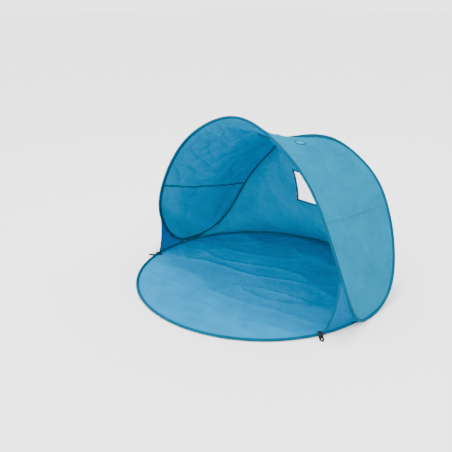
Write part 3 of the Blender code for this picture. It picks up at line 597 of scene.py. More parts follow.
def add_weave(nodes, links, coordinates, threads):
    """Height of a plain weave: warp and weft threads, threads to the metre."""
    waves = []
    for direction in ("X", "Y"):
        wave = nodes.new("ShaderNodeTexWave")
        wave.bands_direction = direction
        # The node draws sin(20 x scale x place), so this makes one band for each thread.
        wave.inputs["Scale"].default_value = threads * math.pi / 10
        wave.inputs["Distortion"].default_value = 0.6
        wave.inputs["Detail Scale"].default_value = 0.4
        links.new(coordinates, wave.inputs["Vector"])
        waves.append(wave.outputs["Fac"])
    both = nodes.new("ShaderNodeMath")
    both.operation = "MAXIMUM"
    links.new(waves[0], both.inputs[0])
    links.new(waves[1], both.inputs[1])
    return both.outputs[0]


def add_bump(nodes, links, height, distance, strength, below=None):
    bump = nodes.new("ShaderNodeBump")
    bump.inputs["Strength"].default_value = strength
    bump.inputs["Distance"].default_value = distance
    links.new(height, bump.inputs["Height"])
    if below is not None:
        links.new(below, bump.inputs["Normal"])
    return bump.outputs["Normal"]


def fabric(name, dark, light, roughness, through, threads=700, crumple=0.0080):
    """Woven cloth between two shades. through is the share of light that passes it."""
    material, nodes, links, shader = new_material(name)
    coordinates = nodes.new("ShaderNodeTexCoord").outputs["UV"]
    patches = add_noise(nodes, links, coordinates, 5.0, 4.0)
    grain = add_noise(nodes, links, coordinates, 260.0, 2.0)
    mottle = nodes.new("ShaderNodeMath")
    mottle.operation = "MULTIPLY_ADD"
    mottle.inputs[1].default_value = 0.25
    links.new(grain, mottle.inputs[0])
    links.new(patches, mottle.inputs[2])
    shade = add_shades(nodes, links, mottle.outputs[0], dark, light, 0.42, 0.85)
    links.new(shade, shader.inputs["Base Color"])
    worn = nodes.new("ShaderNodeMapRange")
    worn.inputs["To Min"].default_value = roughness - 0.08
    worn.inputs["To Max"].default_value = roughness + 0.08
    links.new(patches, worn.inputs["Value"])
    links.new(worn.outputs["Result"], shader.inputs["Roughness"])
    shader.inputs["Specular IOR Level"].default_value = 0.03
    weave = add_bump(nodes, links, add_weave(nodes, links, coordinates, threads), 0.0002, 0.35)
    soft = add_noise(nodes, links, coordinates, 28.0, 5.0, 0.6)
    normal = add_bump(nodes, links, soft, crumple, 0.5, weave)
    links.new(normal, shader.inputs["Normal"])
    if through:
        glow = nodes.new("ShaderNodeBsdfTranslucent")
        links.new(shade, glow.inputs["Color"])
        links.new(normal, glow.inputs["Normal"])
        mix = nodes.new("ShaderNodeMixShader")
        mix.inputs["Fac"].default_value = through
        links.new(shader.outputs["BSDF"], mix.inputs[1])
        links.new(glow.outputs["BSDF"], mix.inputs[2])
        links.new(mix.outputs["Shader"], nodes["Material Output"].inputs["Surface"])
    return material


def mottled(name, space, scale, detail, dark, light, **values):
    """A material between two shades by a noise, with more of the shader's values, and its nodes to add to."""
    material, nodes, links, shader = new_material(name)
    coordinates = nodes.new("ShaderNodeTexCoord").outputs[space]
    spots = add_noise(nodes, links, coordinates, scale, detail)
    links.new(add_shades(nodes, links, spots, dark, light), shader.inputs["Base Color"])
    for value, amount in values.items():
        shader.inputs[value.replace("_", " ")].default_value = amount
    return material, nodes, links, shader, coordinates, spots


def webbing_material():
    """Black polypropylene webbing, with ribs across it and a duller, dusty weave."""
    shades = (0.004, 0.004, 0.005), (0.014, 0.015, 0.017)
    material, nodes, links, shader, coordinates, _ = mottled(
        "black_webbing", "UV", 60.0, 4.0, *shades, Roughness=0.8, Specular_IOR_Level=0.2)
    ribs = add_weave(nodes, links, coordinates, 480)
    links.new(add_bump(nodes, links, ribs, 0.0005, 0.8), shader.inputs["Normal"])
    return material


def film_material():
    """Clear soft vinyl, a little cloudy and wavy."""
    shades = (0.86, 0.90, 0.93), (0.96, 0.98, 0.99)
    material, nodes, links, shader, coordinates, _ = mottled(
        "clear_film", "UV", 12.0, 4.0, *shades, Roughness=0.12, Alpha=0.22, Specular_IOR_Level=0.6)
    wavy = add_noise(nodes, links, coordinates, 9.0, 2.0)
    links.new(add_bump(nodes, links, wavy, 0.004, 0.4), shader.inputs["Normal"])
    return material


def steel_material():
    """Tempered spring steel, drawn along its length and slightly stained."""
    shades = (0.20, 0.21, 0.23), (0.48, 0.49, 0.50)
    material, nodes, links, shader, coordinates, stain = mottled(
        "tempered_steel", "Object", 40.0, 4.0, *shades, Metallic=1.0)
    rough = nodes.new("ShaderNodeMapRange")
    rough.inputs["To Min"].default_value = 0.25
    rough.inputs["To Max"].default_value = 0.5
    links.new(stain, rough.inputs["Value"])
    links.new(rough.outputs["Result"], shader.inputs["Roughness"])
    fine = add_noise(nodes, links, coordinates, 900.0, 2.0)
    links.new(add_bump(nodes, links, fine, 0.0001, 0.3), shader.inputs["Normal"])
    return material


def thread_material():
    shades = (0.006, 0.10, 0.20), (0.03, 0.24, 0.42)
    material, nodes, links, shader, _, twist = mottled(
        "blue_thread", "Object", 700.0, 2.0, *shades, Roughness=0.6)
    links.new(add_bump(nodes, links, twist, 0.0002, 0.5), shader.inputs["Normal"])
    return material


# --- Sleeves and wires --------------------------------------------------------------------------
def make_sleeve(name, line, way, material, thread, seed):
    """A fabric sleeve: round over the wire, then pinched to a flat tail that is sewn to the panel.

    Returns the sleeve and its stitching. It gathers a little all along, as the wire bends inside it."""
    tangents = tangents_of(line)
    way = square_to(way, tangents)
    up = np.cross(tangents, way)
    along = arc_length(np.vstack([line, line[:1]]))[:-1]
    turn = 2 * math.pi * along / (along[-1] + np.linalg.norm(line[-1] - line[0]))
    x, y = np.cos(turn), np.sin(turn)
    radius = along[-1] / 2 / math.pi  # noise on a circle of the hoop's length meets itself
    gather = noise_over(x * radius / GATHER_LENGTH, y * radius / GATHER_LENGTH, seed)
    drift = noise_over(x * radius / DRIFT_LENGTH, y * radius / DRIFT_LENGTH, seed + 9)
    arc = np.linspace(SLEEVE_PINCH, 2 * math.pi - SLEEVE_PINCH, SLEEVE_SIDES)
    root = SLEEVE_R + TAIL_ROOT
    rings = []
    for k, (p, w, n) in enumerate(zip(line, way, up)):
        r = SLEEVE_R * (0.94 + 0.06 * gather[k])
        bulge = 1 + 0.10 * gather[k] * np.sin(arc * 3 + 5 * drift[k])
        outline = [(r * b * math.cos(a), r * b * math.sin(a)) for a, b in zip(arc, np.minimum(bulge, 1.0))]
        end = SLEEVE_R + SLEEVE_TAIL + TAIL_DRIFT * drift[k]
        outline += [(root, -TAIL_HALF - TAIL_FLARE), (end, -TAIL_HALF), (end + TAIL_BEVEL, 0.0),
                    (end, TAIL_HALF), (root, TAIL_HALF + TAIL_FLARE)]
        rings.append([p + a * w + b * n for a, b in outline])
    sleeve = tube(name, rings, material)
    thicken(sleeve, CLOTH, -1.0)
    ring = line + way * (SLEEVE_R + SLEEVE_SEAM)
    both = [(closed_line(ring + s * up * TAIL_HALF), closed_line(s * up)) for s in (1, -1)]
    return sleeve, stitching(f"{name}_stitches", both, thread)


def closed_line(line):
    return np.vstack([line, line[:1]])


def round_wire(name, line, side, radius, material, closed=False, sides=10):
    tangents = unit(np.gradient(line, axis=0))
    side = square_to(side, tangents)
    up = np.cross(tangents, side)
    turn = 2 * math.pi * np.arange(sides) / sides
    rings = [p + radius * (np.outer(np.cos(turn), s) + np.outer(np.sin(turn), u))
             for p, s, u in zip(line, side, up)]
    return tube(name, rings, material, closed)


def make_canopy_hoop(loop, slots, materials):
    line, way = finer(loop, FINE, closed=True), unit(finer(slots, FINE, closed=True))
    sleeve, stitches = make_sleeve("canopy_sleeve", line, way, materials["sleeve"], materials["thread"], 3.0)
    follow_fold(sleeve, "canopy_hoop_sleeve", slot="sleeve_fabric")
    follow_fold(stitches, slot="sleeve_fabric")
    start = (CANOPY_FERRULE_STEP + 1) * FINE
    wire_line = np.roll(line, -start, axis=0)
    wire = round_wire("canopy_wire", wire_line, np.roll(way, -start, axis=0), WIRE_DIAMETER / 2,
                      materials["steel"])
    follow_fold(wire, "canopy_hoop_wire", slot="spring_steel")
    middle = (loop[CANOPY_FERRULE_STEP] + loop[CANOPY_FERRULE_STEP + 1]) / 2
    along = unit(loop[CANOPY_FERRULE_STEP + 1] - loop[CANOPY_FERRULE_STEP])
    # The ferrule has rounded ends and two crimped grooves.
    shares = np.array([-0.5, -0.47, -0.2, -0.17, -0.14, 0.14, 0.17, 0.2, 0.47, 0.5])
    widths = np.array([0.82, 1.0, 1.0, 0.86, 1.0, 1.0, 0.86, 1.0, 1.0, 0.82])
    spots = middle + np.outer(shares * FERRULE_LENGTH, along)
    side = square_to(slots[CANOPY_FERRULE_STEP], along)
    up = np.cross(along, side)
    turn = 2 * math.pi * np.arange(16) / 16
    radius = WIRE_DIAMETER / 2 + 0.0013
    rings = [p + radius * w * (np.outer(np.cos(turn), side) + np.outer(np.sin(turn), up))
             for p, w in zip(spots, widths)]
    ferrule = tube("canopy_ferrule", rings, materials["steel"], closed=False)
    follow_fold(ferrule, "canopy_hoop_ferrule", slot="spring_steel")


def make_floor_hoop(materials):
    angles = 2 * math.pi * np.arange(FINE * 96) / (FINE * 96)
    line = np.array([floor_point(a) for a in angles])
    dip = np.array([0.0, 0.0, math.tan(FLOOR_SLOT_DIP)])
    way = unit(np.array([-floor_normal(a) - dip for a in angles]))
    sleeve, stitches = make_sleeve("floor_sleeve", line, way, materials["sleeve"], materials["thread"], 17.0)
    for piece in (sleeve, stitches):
        for vertex in piece.data.vertices:
            vertex.co.z = max(vertex.co.z, 0.0)
    stay_on_floor(sleeve, "floor_hoop_sleeve", slot="sleeve_fabric")
    stay_on_floor(stitches, slot="sleeve_fabric")


# --- Groundsheet --------------------------------------------------------------------------------
def make_groundsheet(materials):
    """The round sheet, with the creases of its folded storage and slack waves towards the rim."""
    rim_inset = EDGE_INSET * math.cos(FLOOR_SLOT_DIP) - 0.003
    rim_height = SLEEVE_R - EDGE_INSET * math.sin(FLOOR_SLOT_DIP)
    inner_rings = np.linspace(0.0, 1.0, GROUND_RINGS)[:-OUTER_RINGS]
    shares = np.concatenate([inner_rings, np.linspace(RIM_FROM, 1.0, RIM_RINGS)])
    turn = 2 * math.pi * np.arange(GROUND_SPOKES) / GROUND_SPOKES
    rim = np.array([floor_point(a, -rim_inset, 0.0) for a in turn])
    points = np.vstack([np.zeros((1, 3))] + [rim * share for share in shares[1:]])
    x, y = points[:, 0], points[:, 1]
    inset = HALF_WIDTH - rim_inset - np.hypot(x, y * HALF_WIDTH / HALF_DEPTH)
    flat = ease(inset / 0.05)
    swell = 0.5 + 0.5 * folds(x, y, 0.4, 0.45, 0.30, 2.0)
    waves = 0.9 * np.abs(folds(x, y, 0.95, 0.55, 0.11, 5.0))
    waves += 0.6 * np.abs(folds(x, y, -0.5, 0.38, 0.09, 8.0))
    sharp = creases(x, y, 0.25, 0.50, 0.16, 11.0) + 0.8 * creases(x, y, 1.75, 0.45, 0.20, 14.0)
    small = np.abs(folds(x, y, 1.3, 0.10, 0.05, 21.0))
    angle = np.arctan2(y, x)
    spoke = 0.5 + 0.5 * noise_over(np.cos(angle) * 17, np.sin(angle) * 17, 31.0)
    near_rim = np.exp(-np.maximum(inset - 0.03, 0) / 0.09)
    height = 0.0015 * swell + 0.0036 * waves + 0.0055 * sharp + 0.0020 * small + 0.0065 * spoke * near_rim
    points[:, 2] = 0.0006 + height * flat + rim_height * (1 - ease(inset / RIM_FLAT_FROM))
    faces = [(0, 1 + k, 1 + (k + 1) % GROUND_SPOKES) for k in range(GROUND_SPOKES)]
    for ring in range(len(shares) - 2):
        a, b = 1 + ring * GROUND_SPOKES, 1 + (ring + 1) * GROUND_SPOKES
        for k in range(GROUND_SPOKES):
            m = (k + 1) % GROUND_SPOKES
            faces.append((a + k, b + k, b + m, a + m))
    sheet = mesh_object("groundsheet_cloth", points, faces, materials["floor"], points[:, :2])
    thicken(sheet, CLOTH)
    stay_on_floor(sheet, "groundsheet", slot="groundsheet_fabric")


# --- Canopy -------------------------------------------------------------------------------------
def canopy_shape(grid, seams):
    """The canopy's fine grid with its folds, and which of its sides is outside."""
    fine = finer_grid(grid, FINE, FINE_ACROSS)
    u, v = lengths_of(fine)
    sewn, (low, high, front, back) = from_edges(u, v)
    normals = normals_of(fine)
    outside = 1.0 if normals[len(fine) // 2, fine.shape[1] // 2, 2] > 0 else -1.0
    across = math.pi / 2
    loose = ease((sewn - 0.004) / 0.05)
    height = 0.0030 * folds(u, v, across, 0.45, 0.13, 4.0)
    height += 0.0028 * folds(u, v, across + 0.5, 0.20, 0.055, 6.0)
    height += 0.0022 * folds(u, v, across - 0.7, 0.12, 0.040, 7.0)
    height += 0.0065 * np.exp(-back / 0.10) * folds(u, v, across + 0.12, 0.30, 0.030, 9.0)
    height += 0.0050 * np.exp(-front / 0.07) * folds(u, v, across - 0.2, 0.24, 0.034, 12.0)
    height += 0.0050 * np.exp(-np.minimum(low, high) / 0.10) * folds(u, v, 0.1, 0.30, 0.045, 15.0)
    for turn, seed in ((0.75, 18.0), (-0.35, 19.0), (0.2, 20.0)):
        height -= 0.0055 * creases(u, v, across + turn, 0.20, 0.15, seed, 5.0) * ease((sewn - 0.02) / 0.08)
    height *= loose
    height += 0.0011 * ease(sewn / 0.006) * np.exp(-sewn / 0.020) * folds(u, v, 0.78, 0.022, 0.022, 23.0)
    for row in seams.values():
        away = np.abs(u - u[row * FINE])
        height += 0.0016 * np.exp(-away / 0.020) * folds(u, v, 0.0, 0.05, 0.024, 27.0) * loose
        height += outside * WELT_HEIGHT * ease(1.6 - away / (WELT_WIDTH / 2)) * ease(sewn / 0.006)
    return fine + height[..., None] * normals, (u, v), outside


def make_canopy(loop, materials):
    base, seams = with_seams(inset_edges(canopy_film(loop), (EDGE_INSET - SEWN_IN,) * 4))
    grid, lengths, outside = canopy_shape(base, seams)
    u, v = lengths
    last = grid.shape[0] - 1
    right, left = seams["right"] * FINE, seams["left"] * FINE
    spans = {
        "right_ear_cloth": ("right_ear_panel", 0, right),
        "roof_cloth": ("roof_panel", right, left),
        "left_ear_cloth": ("left_ear_panel", left, last),
    }
    panels = {}
    for name, (node, low, high) in spans.items():
        part = slice(low, high + 1)
        panel = cloth(name, grid[part], materials["canopy"], lengths=(u[part], v[part]))
        follow_fold(panel, node, slot="canopy_fabric")
        panels[name] = (panel, grid[part])
    normals = normals_of(grid) * outside
    extras = {name: [] for name in panels}
    for side, row in (("right", right), ("left", left)):
        extras["roof_cloth"] += make_seam_tape(side, row, grid, normals, u, materials)
    extras["roof_cloth"] += make_roof_patch(grid, normals, materials)


def make_seam_tape(side, row, grid, normals, u, materials):
    """The tape inside the seam along a row of the canopy, with its stitches, which show on both faces."""
    offsets = np.linspace(-SEAM_TAPE_WIDTH / 2, SEAM_TAPE_WIDTH / 2, len(TAPE_BEND))
    rows, columns = np.arange(len(grid)), range(grid.shape[1])
    places = [[np.interp(u[row, j] + s, u[:, j], rows) for j in columns] for s in offsets]
    skin = np.array([[at(grid, i, j) for j, i in enumerate(line)] for line in places])
    ways = np.array([[at(normals, i, j) for j, i in enumerate(line)] for line in places])
    bend = np.array(TAPE_BEND) + CLOTH / 2 + TAPE / 2
    inside = skin - ways * bend[:, None, None]
    tape = cloth(f"{side}_tape", inside, materials["seam"], TAPE, lengths=lengths_of(skin))
    follow_fold(tape, f"{side}_seam_tape", slot="canopy_fabric")
    lines = [(inside[k] - ways[k] * TAPE / 2, -ways[k]) for k in TAPE_STITCHED]
    lines += [(skin[k] + ways[k] * CLOTH / 2, ways[k]) for k in TAPE_STITCHED]
    return [tape, sew(f"{side}_tape_stitches", lines, materials, "canopy_fabric")]


def make_roof_patch(grid, normals, materials):
    """A round reinforcement on top of the roof, with a darker bound edge and a ring of stitches."""
    column = EAR_STEPS * FINE_ACROSS * ROOF_PATCH_BACK
    half = grid.shape[0] // 2
    sideways = np.array([at(grid, i, column)[0] for i in range(half)])
    row = float(np.interp(-ROOF_PATCH_SIDE, -sideways, np.arange(half)))
    row_step = np.linalg.norm(at(grid, row + 0.5, column) - at(grid, row - 0.5, column))
    column_step = np.linalg.norm(at(grid, row, column + 0.5) - at(grid, row, column - 0.5))
    turn = 2 * math.pi * np.arange(64) / 64

    def ring(radius, lift):
        places = [(row + radius * math.cos(a) / row_step, column + radius * math.sin(a) / column_step)
                  for a in turn]
        points = np.array([at(grid, i, j) for i, j in places])
        ways = unit([at(normals, i, j) for i, j in places])
        return points + ways * lift, ways

    def disc(name, radii_and_lifts, material, hollow):
        rings = [ring(radius, lift)[0] for radius, lift in radii_and_lifts]
        count = len(turn)
        verts = list(np.vstack(rings))
        faces = []
        loops = len(rings) if hollow else len(rings) - 1
        for k in range(loops):
            n = (k + 1) % len(rings)
            for s in range(count):
                t = (s + 1) % count
                faces.append((k * count + s, n * count + s, n * count + t, k * count + t))
        if not hollow:
            for k, flip in ((0, True), (len(rings) - 1, False)):
                middle = len(verts)
                verts.append(rings[k].mean(axis=0))
                for s in range(count):
                    a, b = k * count + s, k * count + (s + 1) % count
                    faces.append((middle, a, b) if flip else (middle, b, a))
        uvs = [(p[0], p[1]) for p in verts]
        return mesh_object(name, verts, faces, material, uvs)

    radius = ROOF_PATCH_DIAMETER / 2
    under = CLOTH / 2 + 0.0003
    inner = radius - PATCH_RIM
    plate = disc("roof_patch_cloth", [(0.004, under + 0.0012), (inner * 0.5, under + 0.0013),
                                      (inner, under + 0.0011), (inner, under), (0.004, under)],
                 materials["patch"], hollow=False)
    rim = disc("roof_patch_binding", [(inner - 0.0008, under + 0.0013), (inner + 0.001, under + 0.0024),
                                      (radius - 0.002, under + 0.0024), (radius, under + 0.0010),
                                      (radius, under), (inner - 0.0008, under)],
               materials["sleeve"], hollow=True)
    stitched, ways = ring(inner + 0.0022, under + 0.0024)
    follow_fold(plate, "roof_patch", slot="canopy_fabric")
    follow_fold(rim, slot="sleeve_fabric")
    return [plate, rim, sew("roof_patch_stitches", [(closed_line(stitched), closed_line(ways))], materials)]


# --- Back wall and window -----------------------------------------------------------------------
def border_lines(low, high, reach):
    """Grid lines across a bound hole: its binding's two edges and middle at each end, and those between."""
    return [low - reach, low, low + reach, *range(low + 2, high - 1), high - reach, high, high + reach]


def make_back_wall(loop, materials):
    base, (r0, r1, c0, c1) = wall_grid(loop)
    grid = finer_grid(base, FINE, FINE)
    r0, r1, c0, c1 = (FINE * k for k in (r0, r1, c0, c1))
    u, v = lengths_of(grid)
    nearest, (bottom, top, right, left) = from_edges(u, v)
    normals = normals_of(grid)
    front = -1.0 if normals[r0, (c0 + c1) // 2, 1] > 0 else 1.0
    gap_u = np.maximum(np.maximum(u[r0] - u, u - u[r1]), 0)
    gap_v = np.maximum(np.maximum(v[:, c0:c0 + 1] - v, v - v[:, c1:c1 + 1]), 0)
    from_window = np.hypot(gap_u, gap_v)
    loose = ease((nearest - 0.004) / 0.05) * ease(from_window / 0.06)
    height = 0.0048 * folds(u, v, 0.0, 0.50, 0.080, 41.0)
    height += 0.0022 * folds(u, v, 0.25, 0.25, 0.045, 43.0)
    height += 0.0050 * np.exp(-top / 0.14) * folds(u, v, 0.0, 0.35, 0.024, 45.0)
    height += 0.0050 * np.exp(-bottom / 0.11) * folds(u, v, 0.05, 0.30, 0.034, 47.0)
    height += 0.0035 * np.exp(-np.minimum(left, right) / 0.09) * folds(u, v, 1.45, 0.28, 0.035, 49.0)
    for turn, seed in ((0.35, 51.0), (-0.1, 52.0), (1.2, 54.0)):
        height -= 0.0055 * creases(u, v, turn, 0.24, 0.16, seed, 5.0) * ease(nearest / 0.1)
    height *= loose
    pucker = ease(from_window / 0.010) * np.exp(-from_window / 0.03)
    height += 0.0014 * pucker * folds(u, v, 0.8, 0.03, 0.03, 53.0)
    grid = grid + height[..., None] * normals
    keep = np.ones((grid.shape[0] - 1, grid.shape[1] - 1), bool)
    keep[r0:r1, c0:c1] = False
    wall = cloth("back_wall_cloth", grid, materials["canopy"], keep=keep)
    follow_fold(wall, "back_wall", slot="canopy_fabric")

    rows, columns = slice(r0 - 1, r1 + 2), slice(c0 - 1, c1 + 2)
    pane = grid[rows, columns]
    bow = 0.0012 * folds(u[rows, columns], v[rows, columns], 0.6, 0.12, 0.08, 61.0)
    film_piece = cloth("window_pane", pane, materials["window"], lift=front * 0.0009 + bow)
    follow_fold(film_piece, "window_film", slot="window_film")

    row_reach = BINDING_WIDTH / 2 / float(np.mean(u[r0 + 1, c0:c1] - u[r0, c0:c1]))
    column_reach = BINDING_WIDTH / 2 / float(np.mean(v[r0:r1, c0 + 1] - v[r0:r1, c0]))
    row_lines, column_lines = border_lines(r0, r1, row_reach), border_lines(c0, c1, column_reach)
    ring = np.array([[at(grid, i, j) for j in column_lines] for i in row_lines])
    ways = normals_of(ring)
    cells = np.ones((ring.shape[0] - 1, ring.shape[1] - 1), bool)
    cells[2:-2, 2:-2] = False
    bindings = []
    for label, side, node in (("window_binding_inside", front, ["window_binding"]),
                              ("window_binding_outside", -front, [])):
        strip = cloth(label, ring, materials["sleeve"], TAPE, keep=cells, lift=side * (BINDING_LIFT + CLOTH))
        follow_fold(strip, *node, slot="sleeve_fabric")
        lines = []
        for inset in BINDING_STITCHED:
            i0, i1 = inset, ring.shape[0] - 1 - inset
            j0, j1 = inset, ring.shape[1] - 1 - inset
            corners = [((i0, j0), (i1, j0)), ((i1, j0), (i1, j1)), ((i1, j1), (i0, j1)), ((i0, j1), (i0, j0))]
            for (ia, ja), (ib, jb) in corners:
                spots = [(lerp(ia, ib, t), lerp(ja, jb, t)) for t in np.linspace(0, 1, 40)]
                out = unit([at(ways, i, j) for i, j in spots]) * side
                line = np.array([at(ring, i, j) for i, j in spots])
                lines.append((line + out * (BINDING_LIFT + CLOTH + TAPE / 2), out))
        bindings += [strip, sew(f"{label}_stitches", lines, materials)]

    foot_rows = np.stack([grid[0], lerp(grid[0], grid[1], 0.5), grid[1]])
    foot = cloth("back_wall_foot_tape", foot_rows, materials["canopy"], TAPE,
                 lift=front * ((CLOTH + TAPE) / 2 + FOOT_TAPE_LIFT))
    follow_fold(foot, slot="sleeve_fabric")


# --- Gussets, tabs and peg loops ----------------------------------------------------------------
def make_gusset(name, side, loop, materials, seed):
    """A front panel between the two hoops, with its folded free edge and the stitches along it."""
    grid = finer_grid(gusset_grid(loop), GUSSET_FINE, GUSSET_FINE) * np.array([side, 1.0, 1.0])
    u, v = lengths_of(grid)
    nearest, _ = from_edges(u, v)
    normals = normals_of(grid)
    outside = 1.0 if normals[len(grid) // 2, 0, 0] * side > 0 else -1.0
    height = 0.0028 * folds(u, v, 0.15, 0.20, 0.026, seed)
    height += 0.0016 * folds(u, v, 1.2, 0.09, 0.020, seed + 3)
    height *= ease((nearest - 0.003) / 0.03)
    grid = grid + height[..., None] * normals
    # The panel's cloth is darker than the canopy's by painted shade.
    panel = cloth(f"{name}_gusset_cloth_painted_shade", grid, materials["gusset"])
    follow_fold(panel, f"{name}_gusset", slot="canopy_fabric")
    columns = np.arange(grid.shape[1])
    inner = np.array([at(grid, i, np.interp(GUSSET_HEM_WIDTH, v[i], columns)) for i in range(len(grid))])
    strip = np.stack([lerp(grid[:, 0], inner, s) for s in (0.0, 0.25, 0.5, 0.75, 1.0)], axis=1)
    lift = CLOTH / 2 + GUSSET_HEM_LIFT
    hem = cloth(f"{name}_gusset_edge", strip, materials["sleeve"], TAPE,
                lift=(lift + TAPE / 2) * outside * side)
    follow_fold(hem, f"{name}_gusset_hem", slot="sleeve_fabric")
    way_out = normals_of(strip)[:, 3] * outside * side
    stitches = sew(f"{name}_gusset_stitches", [(strip[:, 3] + way_out * (lift + TAPE), way_out)], materials)


def make_hinge_tab(name, side, loop, materials):
    """A strip of cloth across both sleeves beside the ear, stitched to each."""
    right = loop[:HALF_LOOP]
    low = right[right[:, 2] < SLEEVE_R + HINGE_TAB_HOOP_RISE]
    low = low[np.argsort(low[:, 1])]
    middle = (low[0, 1] + low[-1, 1]) / 2
    lay = SLEEVE_R + 2 * CLEARANCE + TAPE / 2
    grid = []
    for y in np.linspace(middle - HINGE_TAB_LENGTH / 2, middle + HINGE_TAB_LENGTH / 2, 25):
        inner = floor_point(math.asin(y / HALF_DEPTH))
        outer = np.array([np.interp(y, low[:, 1], low[:, axis]) for axis in range(3)])
        row = [inner + lay * np.array([math.cos(a), 0, math.sin(a)]) for a in TAB_ON_FLOOR]
        row += [outer + lay * np.array([math.cos(a), 0, math.sin(a)]) for a in TAB_ON_CANOPY]
        grid.append([[side * x, y, z] for x, _, z in row])
    grid = np.array(grid)
    tab = cloth(f"{name}_tab_cloth", grid, materials["sleeve"], TAPE)
    follow_fold(tab, f"{name}_hinge_tab", slot="sleeve_fabric")
    ways = normals_of(grid)
    ways = ways * np.sign(ways[..., 2:3].mean())
    lines = [(grid[1:-1, k] + ways[1:-1, k] * TAPE / 2, ways[1:-1, k]) for k in (1, -2)]
    stitches = sew(f"{name}_tab_stitches", lines, materials)


def make_peg_loop(name, angle, turn, over_hoop, materials):
    """A webbing strap over the hoop, with an eye and a pointed end on the ground outside it."""
    middle = floor_point(angle)
    normal = floor_normal(angle)
    pull = np.array([math.cos(turn), math.sin(turn), 0.0])
    slant = float(pull @ normal)
    over = SLEEVE_R + 2 * CLEARANCE + WEBBING_THICKNESS / 2
    on_sheet = SLEEVE_R - EDGE_INSET * math.sin(FLOOR_SLOT_DIP) + 3 * CLEARANCE + 0.0012
    on_ground = WEBBING_THICKNESS / 2 + 0.0002
    half = PEG_LOOP_WIDTH / 2
    side = np.array([-pull[1], pull[0], 0.0])
    spread = half * abs(float(side @ normal))
    flank = over + spread + CLEARANCE
    bend = math.pi if over_hoop else PEG_START_ON_SLEEVE
    arc = np.linspace(bend, 0.0, round(bend / math.radians(10)) + 1)
    inside = np.linspace(-flank - PEG_LOOP_INSIDE, -flank, STRAP_INSIDE_ROWS)
    path = [(x, on_sheet) for x in inside] if over_hoop else []
    path += [(math.cos(a) * over + spread * math.cos(a), SLEEVE_R + math.sin(a) * over) for a in arc]
    eye_start = flank + PEG_EYE_START
    eye_end = flank + PEG_LOOP_REACH
    tip = eye_end + PEG_LOOP_POINT
    path += [(flank, on_ground), (eye_start, on_ground)]
    path += [(x, on_ground) for x in np.linspace(eye_start, eye_end, STRAP_EYE_ROWS)[1:]]
    first_eye, last_eye = len(path) - STRAP_EYE_ROWS, len(path) - 1
    tips = np.linspace(0, 1, STRAP_TIP_ROWS + 1)[1:]
    path += [(lerp(eye_end, tip, t), on_ground) for t in tips]
    widths = [half] * (len(path) - len(tips)) + [lerp(half, half * PEG_TIP_SHARE, t) for t in tips]
    grid = []
    for (out, height), wide in zip(path, widths):
        base = middle + pull * (out / slant)
        offsets = STRAP_LINES * wide
        hole = min(PEG_EYE_WIDTH * STRAP_EYE_SHARE, offsets[4])
        offsets[2], offsets[4] = -hole, hole
        grid.append([[*(base + side * w)[:2], height] for w in offsets])
    grid = np.array(grid)
    keep = np.ones((grid.shape[0] - 1, grid.shape[1] - 1), bool)
    keep[first_eye + 3:last_eye - 1, 2:4] = False  # the eye's slit
    strap = cloth(name, grid, materials["webbing"], WEBBING_THICKNESS, keep=keep)
    stay_on_floor(strap, name.replace("_strap", "_peg_loop"), slot="webbing")
    seams = [grid[first_eye - 1, 1:-1], grid[last_eye, 1:-1]]
    if over_hoop:
        seams += [grid[:STRAP_INSIDE_ROWS, j] for j in (1, -2)]
    up = np.array([0.0, 0.0, 1.0])
    lines = [(seam + up * WEBBING_THICKNESS / 2, np.tile(up, (len(seam), 1))) for seam in seams]
    stitches = stitching(f"{name}_stitches", lines, materials["webbing_thread"])
    stay_on_floor(stitches, slot="webbing")


# --- Stage, light and camera --------------------------------------------------------------------
def make_stage():
    verts = [(-30, -30, -0.001), (30, -30, -0.001), (30, 30, -0.001), (-30, 30, -0.001)]
    material, _, _, shader = new_material("pale_floor")
    shader.inputs["Base Color"].default_value = (0.93, 0.93, 0.93, 1.0)
    shader.inputs["Roughness"].default_value = 0.9
    mesh_object("floor_plane", verts, [(0, 1, 2, 3)], material)


def add_area_light(name, place, target, size, power):
    light = bpy.data.lights.new(name, "AREA")
    light.shape, light.size, light.energy = "DISK", size, power
    obj = bpy.data.objects.new(name, light)
    obj.location = place
    obj.rotation_euler = (Vector(target) - Vector(place)).to_track_quat("-Z", "Y").to_euler()
    bpy.context.scene.collection.objects.link(obj)


def make_light():
    for lamp in LAMPS:
        add_area_light(*lamp)
    world = bpy.data.worlds.new("studio")
    world.use_nodes = True
    background = world.node_tree.nodes["Background"]
    background.inputs["Color"].default_value = (1.0, 1.0, 1.0, 1.0)
    background.inputs["Strength"].default_value = WORLD_STRENGTH
    bpy.context.scene.world = world


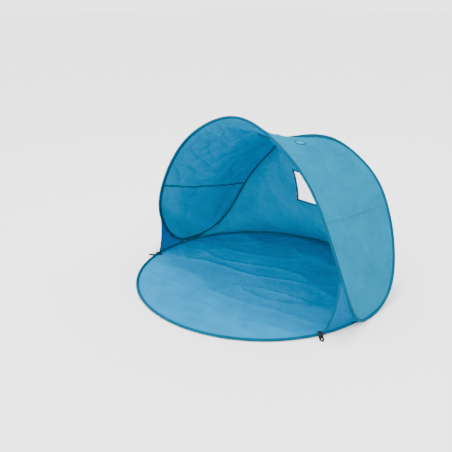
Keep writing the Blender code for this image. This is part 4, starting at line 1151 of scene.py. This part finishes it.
def make_camera():
    level = math.cos(CAMERA_ELEVATION)
    back = Vector((math.sin(CAMERA_AZIMUTH) * level, -math.cos(CAMERA_AZIMUTH) * level,
                   math.sin(CAMERA_ELEVATION)))
    data = bpy.data.cameras.new("camera")
    data.lens, data.sensor_width, data.shift_x = CAMERA_LENS, CAMERA_SENSOR, CAMERA_SHIFT
    camera = bpy.data.objects.new("camera", data)
    camera.location = Vector(CAMERA_TARGET) + back * CAMERA_DISTANCE
    camera.rotation_euler = (-back).to_track_quat("-Z", "Y").to_euler()
    bpy.context.scene.collection.objects.link(camera)
    bpy.context.scene.camera = camera


def make_materials():
    return {
        "canopy": fabric("canopy_cloth", (0.001, 0.240, 0.405), (0.002, 0.300, 0.475), 0.70, 0.55),
        # The gussets' cloth is the canopy cloth made darker: painted shade, for the shade that falls on the
        # right gusset's outside.
        "gusset": fabric("gusset_cloth_painted_shade", (0.003, 0.185, 0.390), (0.006, 0.240, 0.460), 0.70, 0.60),
        "seam": fabric("seam_cloth", (0.000, 0.075, 0.130), (0.001, 0.100, 0.170), 0.70, 0.10),
        "patch": fabric("patch_cloth", (0.004, 0.180, 0.330), (0.008, 0.235, 0.400), 0.70, 0.05),
        "floor": fabric("ground_cloth", (0.0, 0.150, 0.310), (0.0, 0.188, 0.370), 0.62, 0.0, 600, 0.0090),
        "sleeve": fabric("sleeve_cloth", (0.0, 0.050, 0.095), (0.001, 0.075, 0.135), 0.72, 0.0, 600, 0.0010),
        "webbing": webbing_material(),
        "webbing_thread": webbing_material(),
        "thread": thread_material(),
        "steel": steel_material(),
        "window": film_material(),
    }


def main():
    make_camera()
    make_light()
    make_stage()
    materials = make_materials()
    for node in ("floor_hoop_wire", "floor_hoop_ferrule"):
        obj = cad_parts[node]
        obj.data.materials.clear()
        obj.data.materials.append(materials["steel"])
    loop = canopy_loop()
    slots = canopy_slots(loop, canopy_film(loop))
    make_floor_hoop(materials)
    make_canopy_hoop(loop, slots, materials)
    make_groundsheet(materials)
    make_canopy(loop, materials)
    make_back_wall(loop, materials)
    for name, side, seed in (("right", 1.0, 71.0), ("left", -1.0, 83.0)):
        make_gusset(name, side, loop, materials, seed)
        make_hinge_tab(name, side, loop, materials)
    front, pull, rear = -PEG_LOOP_PLACE, -PEG_LOOP_TURN, REAR_PEG_LOOP_PLACE
    make_peg_loop("front_right_strap", front, pull, True, materials)
    make_peg_loop("front_left_strap", math.pi - front, math.pi - pull, True, materials)
    make_peg_loop("rear_right_strap", rear, rear, False, materials)
    make_peg_loop("rear_left_strap", math.pi - rear, math.pi - rear, False, materials)


main()
